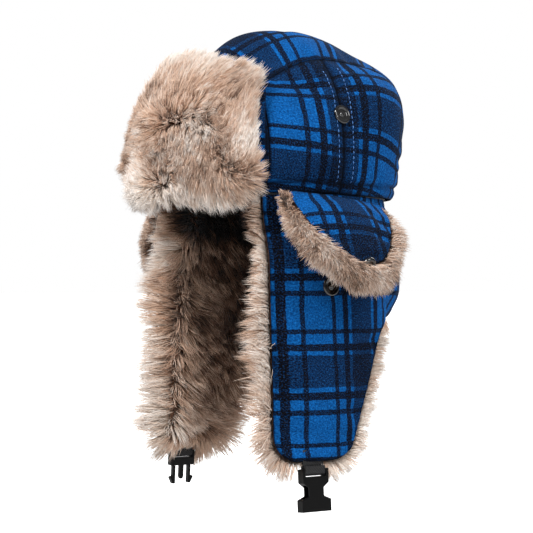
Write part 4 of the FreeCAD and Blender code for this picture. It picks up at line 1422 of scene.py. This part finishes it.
def plaid_material():
    """Brushed wool plaid: each thread is blue or black, and the twill shows one or the other; seams and creases
    get painted shade.
    """
    material, tree, surface = start_material("plaid_wool", Roughness=0.92)
    surface.inputs["Specular IOR Level"].default_value = 0.06
    surface.inputs["Sheen Weight"].default_value = 0.05
    surface.inputs["Sheen Roughness"].default_value = 0.45
    surface.inputs["Sheen Tint"].default_value = colour(150, 185, 235)
    uv = shade_node(tree, "ShaderNodeUVMap", uv_map="cloth").outputs[0]
    wander = shade_node(tree, "ShaderNodeTexNoise", {"Vector": uv, "Scale": 420.0, "Detail": 3.0}).outputs[1]
    shift = shade_node(tree, "ShaderNodeVectorMath", {0: wander, 1: (0.5, 0.5, 0.5)},
                       operation="SUBTRACT").outputs[0]
    shift = shade_node(tree, "ShaderNodeVectorMath", {0: shift, 3: 0.0016}, operation="SCALE").outputs[0]
    moved = shade_node(tree, "ShaderNodeVectorMath", {0: uv, 1: shift}, operation="ADD").outputs[0]
    parts = shade_node(tree, "ShaderNodeSeparateXYZ", {0: moved})
    dark = []
    for number in (0, 1):
        share = calculate(tree, "DIVIDE", parts.outputs[number], REPEAT * MM)
        dark.append(ramp(tree, calculate(tree, "FRACT", share), stripe_stops(), "CONSTANT"))
    diagonal = calculate(tree, "ADD", parts.outputs[0], parts.outputs[1])
    twill = calculate(tree, "FRACT", calculate(tree, "DIVIDE", diagonal, 2.2 * MM))
    pick = calculate(tree, "GREATER_THAN", twill, 0.5)
    thread = mix_colour(tree, pick, dark[0], dark[1])
    both = mix_colour(tree, 1.0, dark[0], dark[1], "SCREEN")
    thread = mix_colour(tree, 0.88, thread, both)
    fibre = shade_node(tree, "ShaderNodeTexNoise", {"Vector": uv, "Scale": 640.0, "Detail": 4.0,
                                                "Roughness": 0.75}).outputs[0]
    cloud = shade_node(tree, "ShaderNodeTexNoise", {"Vector": uv, "Scale": 55.0, "Detail": 3.0}).outputs[0]
    speck = shade_node(tree, "ShaderNodeTexNoise", {"Vector": uv, "Scale": 900.0, "Detail": 2.0}).outputs[0]
    stray = calculate(tree, "MULTIPLY", calculate(tree, "SUBTRACT", 0.5, speck), 1.7)
    thread = calculate(tree, "ADD", thread, stray)
    thread = shade_node(tree, "ShaderNodeClamp", {0: thread}).outputs[0]
    blue = ramp(tree, fibre, [(0.34, colour(2, 44, 94)), (0.5, colour(5, 78, 145)),
                              (0.66, colour(24, 112, 190))])
    black = ramp(tree, fibre, [(0.36, colour(1, 1, 2)), (0.54, colour(9, 7, 7)),
                               (0.7, colour(38, 31, 28))])
    cloth = mix_colour(tree, thread, blue, black)
    worn = ramp(tree, cloud, [(0.3, (0.82, 0.82, 0.82, 1)), (0.7, (1.12, 1.12, 1.12, 1))])
    cloth = mix_colour(tree, 1.0, cloth, worn, "MULTIPLY")
    # painted shade: the cloth darkens towards near-black in its seams and in the crown's tuck crease
    painted_crease_shade = shade_node(tree, "ShaderNodeAttribute", attribute_name="painted_crease_shade").outputs[2]
    cloth = mix_colour(tree, calculate(tree, "MULTIPLY", painted_crease_shade, 0.85), cloth, colour(6, 8, 14))
    tree.links.new(cloth, surface.inputs["Base Color"])
    ridge = calculate(tree, "ADD", calculate(tree, "MULTIPLY", pick, 0.35), fibre)
    bump = shade_node(tree, "ShaderNodeBump", {"Height": ridge, "Strength": 0.55, "Distance": 0.0006})
    tree.links.new(bump.outputs[0], surface.inputs["Normal"])
    return material


def thread_material():
    material, tree, surface = start_material("pale_thread", Roughness=0.7)
    place = shade_node(tree, "ShaderNodeTexCoord").outputs["Object"]
    twist = shade_node(tree, "ShaderNodeTexNoise", {"Vector": place, "Scale": 900.0, "Detail": 2.0}).outputs[0]
    tint = ramp(tree, twist, [(0.35, colour(34, 84, 150)), (0.65, colour(92, 146, 214))])
    tree.links.new(tint, surface.inputs["Base Color"])
    return material


def fur_material():
    """Colour from root to tip along a strand and from dark to pale across the strands."""
    material, tree, surface = start_material("fur_pile", Roughness=0.62)
    surface.inputs["Specular IOR Level"].default_value = 0.25
    surface.inputs["Sheen Weight"].default_value = 0.2
    uv = shade_node(tree, "ShaderNodeUVMap", uv_map="OFBake").outputs[0]
    parts = shade_node(tree, "ShaderNodeSeparateXYZ", {0: uv})
    # the near-black low end of these ramps is where the painted shade near the earflaps' fold lands
    root = ramp(tree, parts.outputs[0], [(0.02, colour(4, 3, 2)), (0.3, colour(74, 48, 34)),
                                         (0.6, colour(186, 144, 115)), (1.0, colour(234, 212, 192))])
    middle = ramp(tree, parts.outputs[0], [(0.02, colour(9, 6, 5)), (0.3, colour(132, 94, 70)),
                                           (0.6, colour(236, 201, 174)), (1.0, colour(250, 238, 226))])
    tip = ramp(tree, parts.outputs[0], [(0.02, colour(14, 10, 8)), (0.2, colour(128, 90, 68)),
                                        (0.45, colour(240, 212, 190)), (0.6, colour(184, 144, 120)),
                                        (0.68, colour(240, 220, 204)), (1.0, colour(255, 250, 246))])
    lower = mix_colour(tree, ramp(tree, parts.outputs[1], [(0.05, (0, 0, 0, 1)), (0.45, (1, 1, 1, 1))]),
                       root, middle)
    whole = mix_colour(tree, ramp(tree, parts.outputs[1], [(0.55, (0, 0, 0, 1)), (0.95, (1, 1, 1, 1))]),
                       lower, tip)
    tree.links.new(whole, surface.inputs["Base Color"])
    return material


def pelt_material():
    material, tree, surface = start_material("fur_backing", Roughness=0.95)
    place = shade_node(tree, "ShaderNodeTexCoord").outputs["Object"]
    noise = shade_node(tree, "ShaderNodeTexNoise", {"Vector": place, "Scale": 300.0, "Detail": 4.0}).outputs[0]
    tint = ramp(tree, noise, [(0.3, colour(62, 41, 30)), (0.7, colour(140, 104, 82))])
    tree.links.new(tint, surface.inputs["Base Color"])
    bump = shade_node(tree, "ShaderNodeBump", {"Height": noise, "Strength": 0.8, "Distance": 0.001})
    tree.links.new(bump.outputs[0], surface.inputs["Normal"])
    return material


def lining_material():
    material, tree, surface = start_material("quilted_satin", Roughness=0.42)
    surface.inputs["Sheen Weight"].default_value = 0.15
    place = shade_node(tree, "ShaderNodeTexCoord").outputs["Object"]
    weave = shade_node(tree, "ShaderNodeTexWave", {"Vector": place, "Scale": 900.0, "Distortion": 0.6})
    tint = ramp(tree, weave.outputs[1], [(0.2, colour(12, 12, 13)), (0.8, colour(28, 27, 29))])
    tree.links.new(tint, surface.inputs["Base Color"])
    bump = shade_node(tree, "ShaderNodeBump", {"Height": weave.outputs[1], "Strength": 0.2,
                                               "Distance": 0.0002})
    tree.links.new(bump.outputs[0], surface.inputs["Normal"])
    return material


def webbing_material():
    material, tree, surface = start_material("black_webbing", Roughness=0.6)
    place = shade_node(tree, "ShaderNodeTexCoord").outputs["Object"]
    weave = shade_node(tree, "ShaderNodeTexWave", {"Vector": place, "Scale": 260.0, "Distortion": 0.3},
                       wave_type="BANDS", bands_direction="DIAGONAL")
    tint = ramp(tree, weave.outputs[1], [(0.1, colour(10, 10, 11)), (0.9, colour(38, 38, 40))])
    tree.links.new(tint, surface.inputs["Base Color"])
    bump = shade_node(tree, "ShaderNodeBump", {"Height": weave.outputs[1], "Strength": 0.6,
                                               "Distance": 0.0004})
    tree.links.new(bump.outputs[0], surface.inputs["Normal"])
    return material


def plastic_material():
    material, tree, surface = start_material("moulded_acetal", Roughness=0.3)
    surface.inputs["Specular IOR Level"].default_value = 0.2
    place = shade_node(tree, "ShaderNodeTexCoord").outputs["Object"]
    grain = shade_node(tree, "ShaderNodeTexNoise", {"Vector": place, "Scale": 1600.0, "Detail": 2.0}).outputs[0]
    tint = ramp(tree, grain, [(0.3, colour(3, 3, 3)), (0.7, colour(8, 8, 9))])
    tree.links.new(tint, surface.inputs["Base Color"])
    bump = shade_node(tree, "ShaderNodeBump", {"Height": grain, "Strength": 0.12, "Distance": 0.0002})
    tree.links.new(bump.outputs[0], surface.inputs["Normal"])
    return material


def snap_material():
    """Black enamelled snap, glossy, a little rubbed on top."""
    material, tree, surface = start_material("black_enamel", Roughness=0.14)
    surface.inputs["Specular IOR Level"].default_value = 0.6
    surface.inputs["Coat Weight"].default_value = 1.0
    surface.inputs["Coat Roughness"].default_value = 0.05
    place = shade_node(tree, "ShaderNodeTexCoord").outputs["Object"]
    rub = shade_node(tree, "ShaderNodeTexNoise", {"Vector": place, "Scale": 700.0, "Detail": 4.0}).outputs[0]
    tint = ramp(tree, rub, [(0.45, colour(2, 2, 3)), (0.8, colour(10, 10, 12))])
    tree.links.new(tint, surface.inputs["Base Color"])
    return material


# ---------------------------------------------------------------- studio

VIEW_AZIMUTH = 55
VIEW_ELEVATION = -0.5
VIEW_DISTANCE = 1.6
VIEW_WIDTH = 0.4733
VIEW_TARGET = (0, 0, -0.062)
VIEW_SHIFT = (-0.0098, 0.0024)
AMBIENT = 0.64
AMBIENT_RISE = 0.36
GLOSSY_DARK = -0.7


def make_camera():
    data = bpy.data.cameras.new("camera")
    camera = bpy.data.objects.new("camera", data)
    bpy.context.scene.collection.objects.link(camera)
    azimuth = math.radians(VIEW_AZIMUTH)
    elevation = math.radians(VIEW_ELEVATION)
    back = Vector((math.sin(azimuth) * math.cos(elevation), -math.cos(azimuth) * math.cos(elevation),
                   math.sin(elevation)))
    camera.location = Vector(VIEW_TARGET) + back * VIEW_DISTANCE
    camera.rotation_mode = "QUATERNION"
    camera.rotation_quaternion = (-back).to_track_quat("-Z", "Y")
    data.lens = data.sensor_width * VIEW_DISTANCE / VIEW_WIDTH
    data.shift_x, data.shift_y = VIEW_SHIFT
    bpy.context.scene.camera = camera


def area_light(name, place, size, power):
    data = bpy.data.lights.new(name, "AREA")
    data.size = size
    data.energy = power
    light = bpy.data.objects.new(name, data)
    light.location = place
    light.rotation_mode = "QUATERNION"
    light.rotation_quaternion = (Vector(VIEW_TARGET) - Vector(place)).to_track_quat("-Z", "Y")
    bpy.context.scene.collection.objects.link(light)


def make_studio():
    world = bpy.data.worlds.new("studio")
    bpy.context.scene.world = world
    world.use_nodes = True
    background = world.node_tree.nodes["Background"]
    background.inputs[0].default_value = (1, 1, 1, 1)
    rays = shade_node(world.node_tree, "ShaderNodeLightPath").outputs
    heading = shade_node(world.node_tree, "ShaderNodeTexCoord").outputs["Generated"]
    upward = shade_node(world.node_tree, "ShaderNodeSeparateXYZ", {0: heading}).outputs[2]
    sky = calculate(world.node_tree, "MULTIPLY_ADD", upward, AMBIENT_RISE, AMBIENT)
    mirrored_share = calculate(world.node_tree, "MULTIPLY_ADD", rays["Is Glossy Ray"], GLOSSY_DARK, 1.0)
    sky = calculate(world.node_tree, "MULTIPLY", sky, mirrored_share)
    strength = calculate(world.node_tree, "MAXIMUM", sky, rays["Is Camera Ray"])
    world.node_tree.links.new(strength, background.inputs[1])
    area_light("key", (0.35, -1.4, 1.5), 0.6, 34)
    area_light("side", (1.7, 0.2, 0.9), 0.7, 12)
    area_light("rim", (-0.6, 1.4, 0.9), 0.8, 8)
    low = cad_bounds[0][2] / MM
    half = 30000.0
    level = low - 12
    points = np.array([[-half, -half, level], [half, -half, level], [half, half, level], [-half, half, level]])
    floor = make_mesh("floor", points, np.array([[0, 1, 2, 3]]))
    material, tree, surface = start_material("pale_floor", Roughness=0.8)
    surface.inputs["Base Color"].default_value = (0.6, 0.6, 0.6, 1)
    surface.inputs["Emission Color"].default_value = (1, 1, 1, 1)
    seen = shade_node(tree, "ShaderNodeLightPath").outputs["Is Camera Ray"]
    tree.links.new(seen, surface.inputs["Emission Strength"])
    floor.data.materials.append(material)
    bpy.context.scene.view_settings.view_transform = "Standard"


PLAID = plaid_material()
THREAD = thread_material()
FUR = fur_material()
PELT = pelt_material()
LINING = lining_material()
WEBBING = webbing_material()
PLASTIC = plastic_material()
SNAP = snap_material()

make_side_panels()
make_centre_panel()
make_lining()
make_binding()
make_flaps()
make_neck()
make_visor_backing()
make_cover_cloth()
make_visor_fur()
make_flap_fur()
make_neck_fur()
make_cover_fur()
make_snaps()
make_strap_roots()
make_buckle()
make_camera()
make_studio()
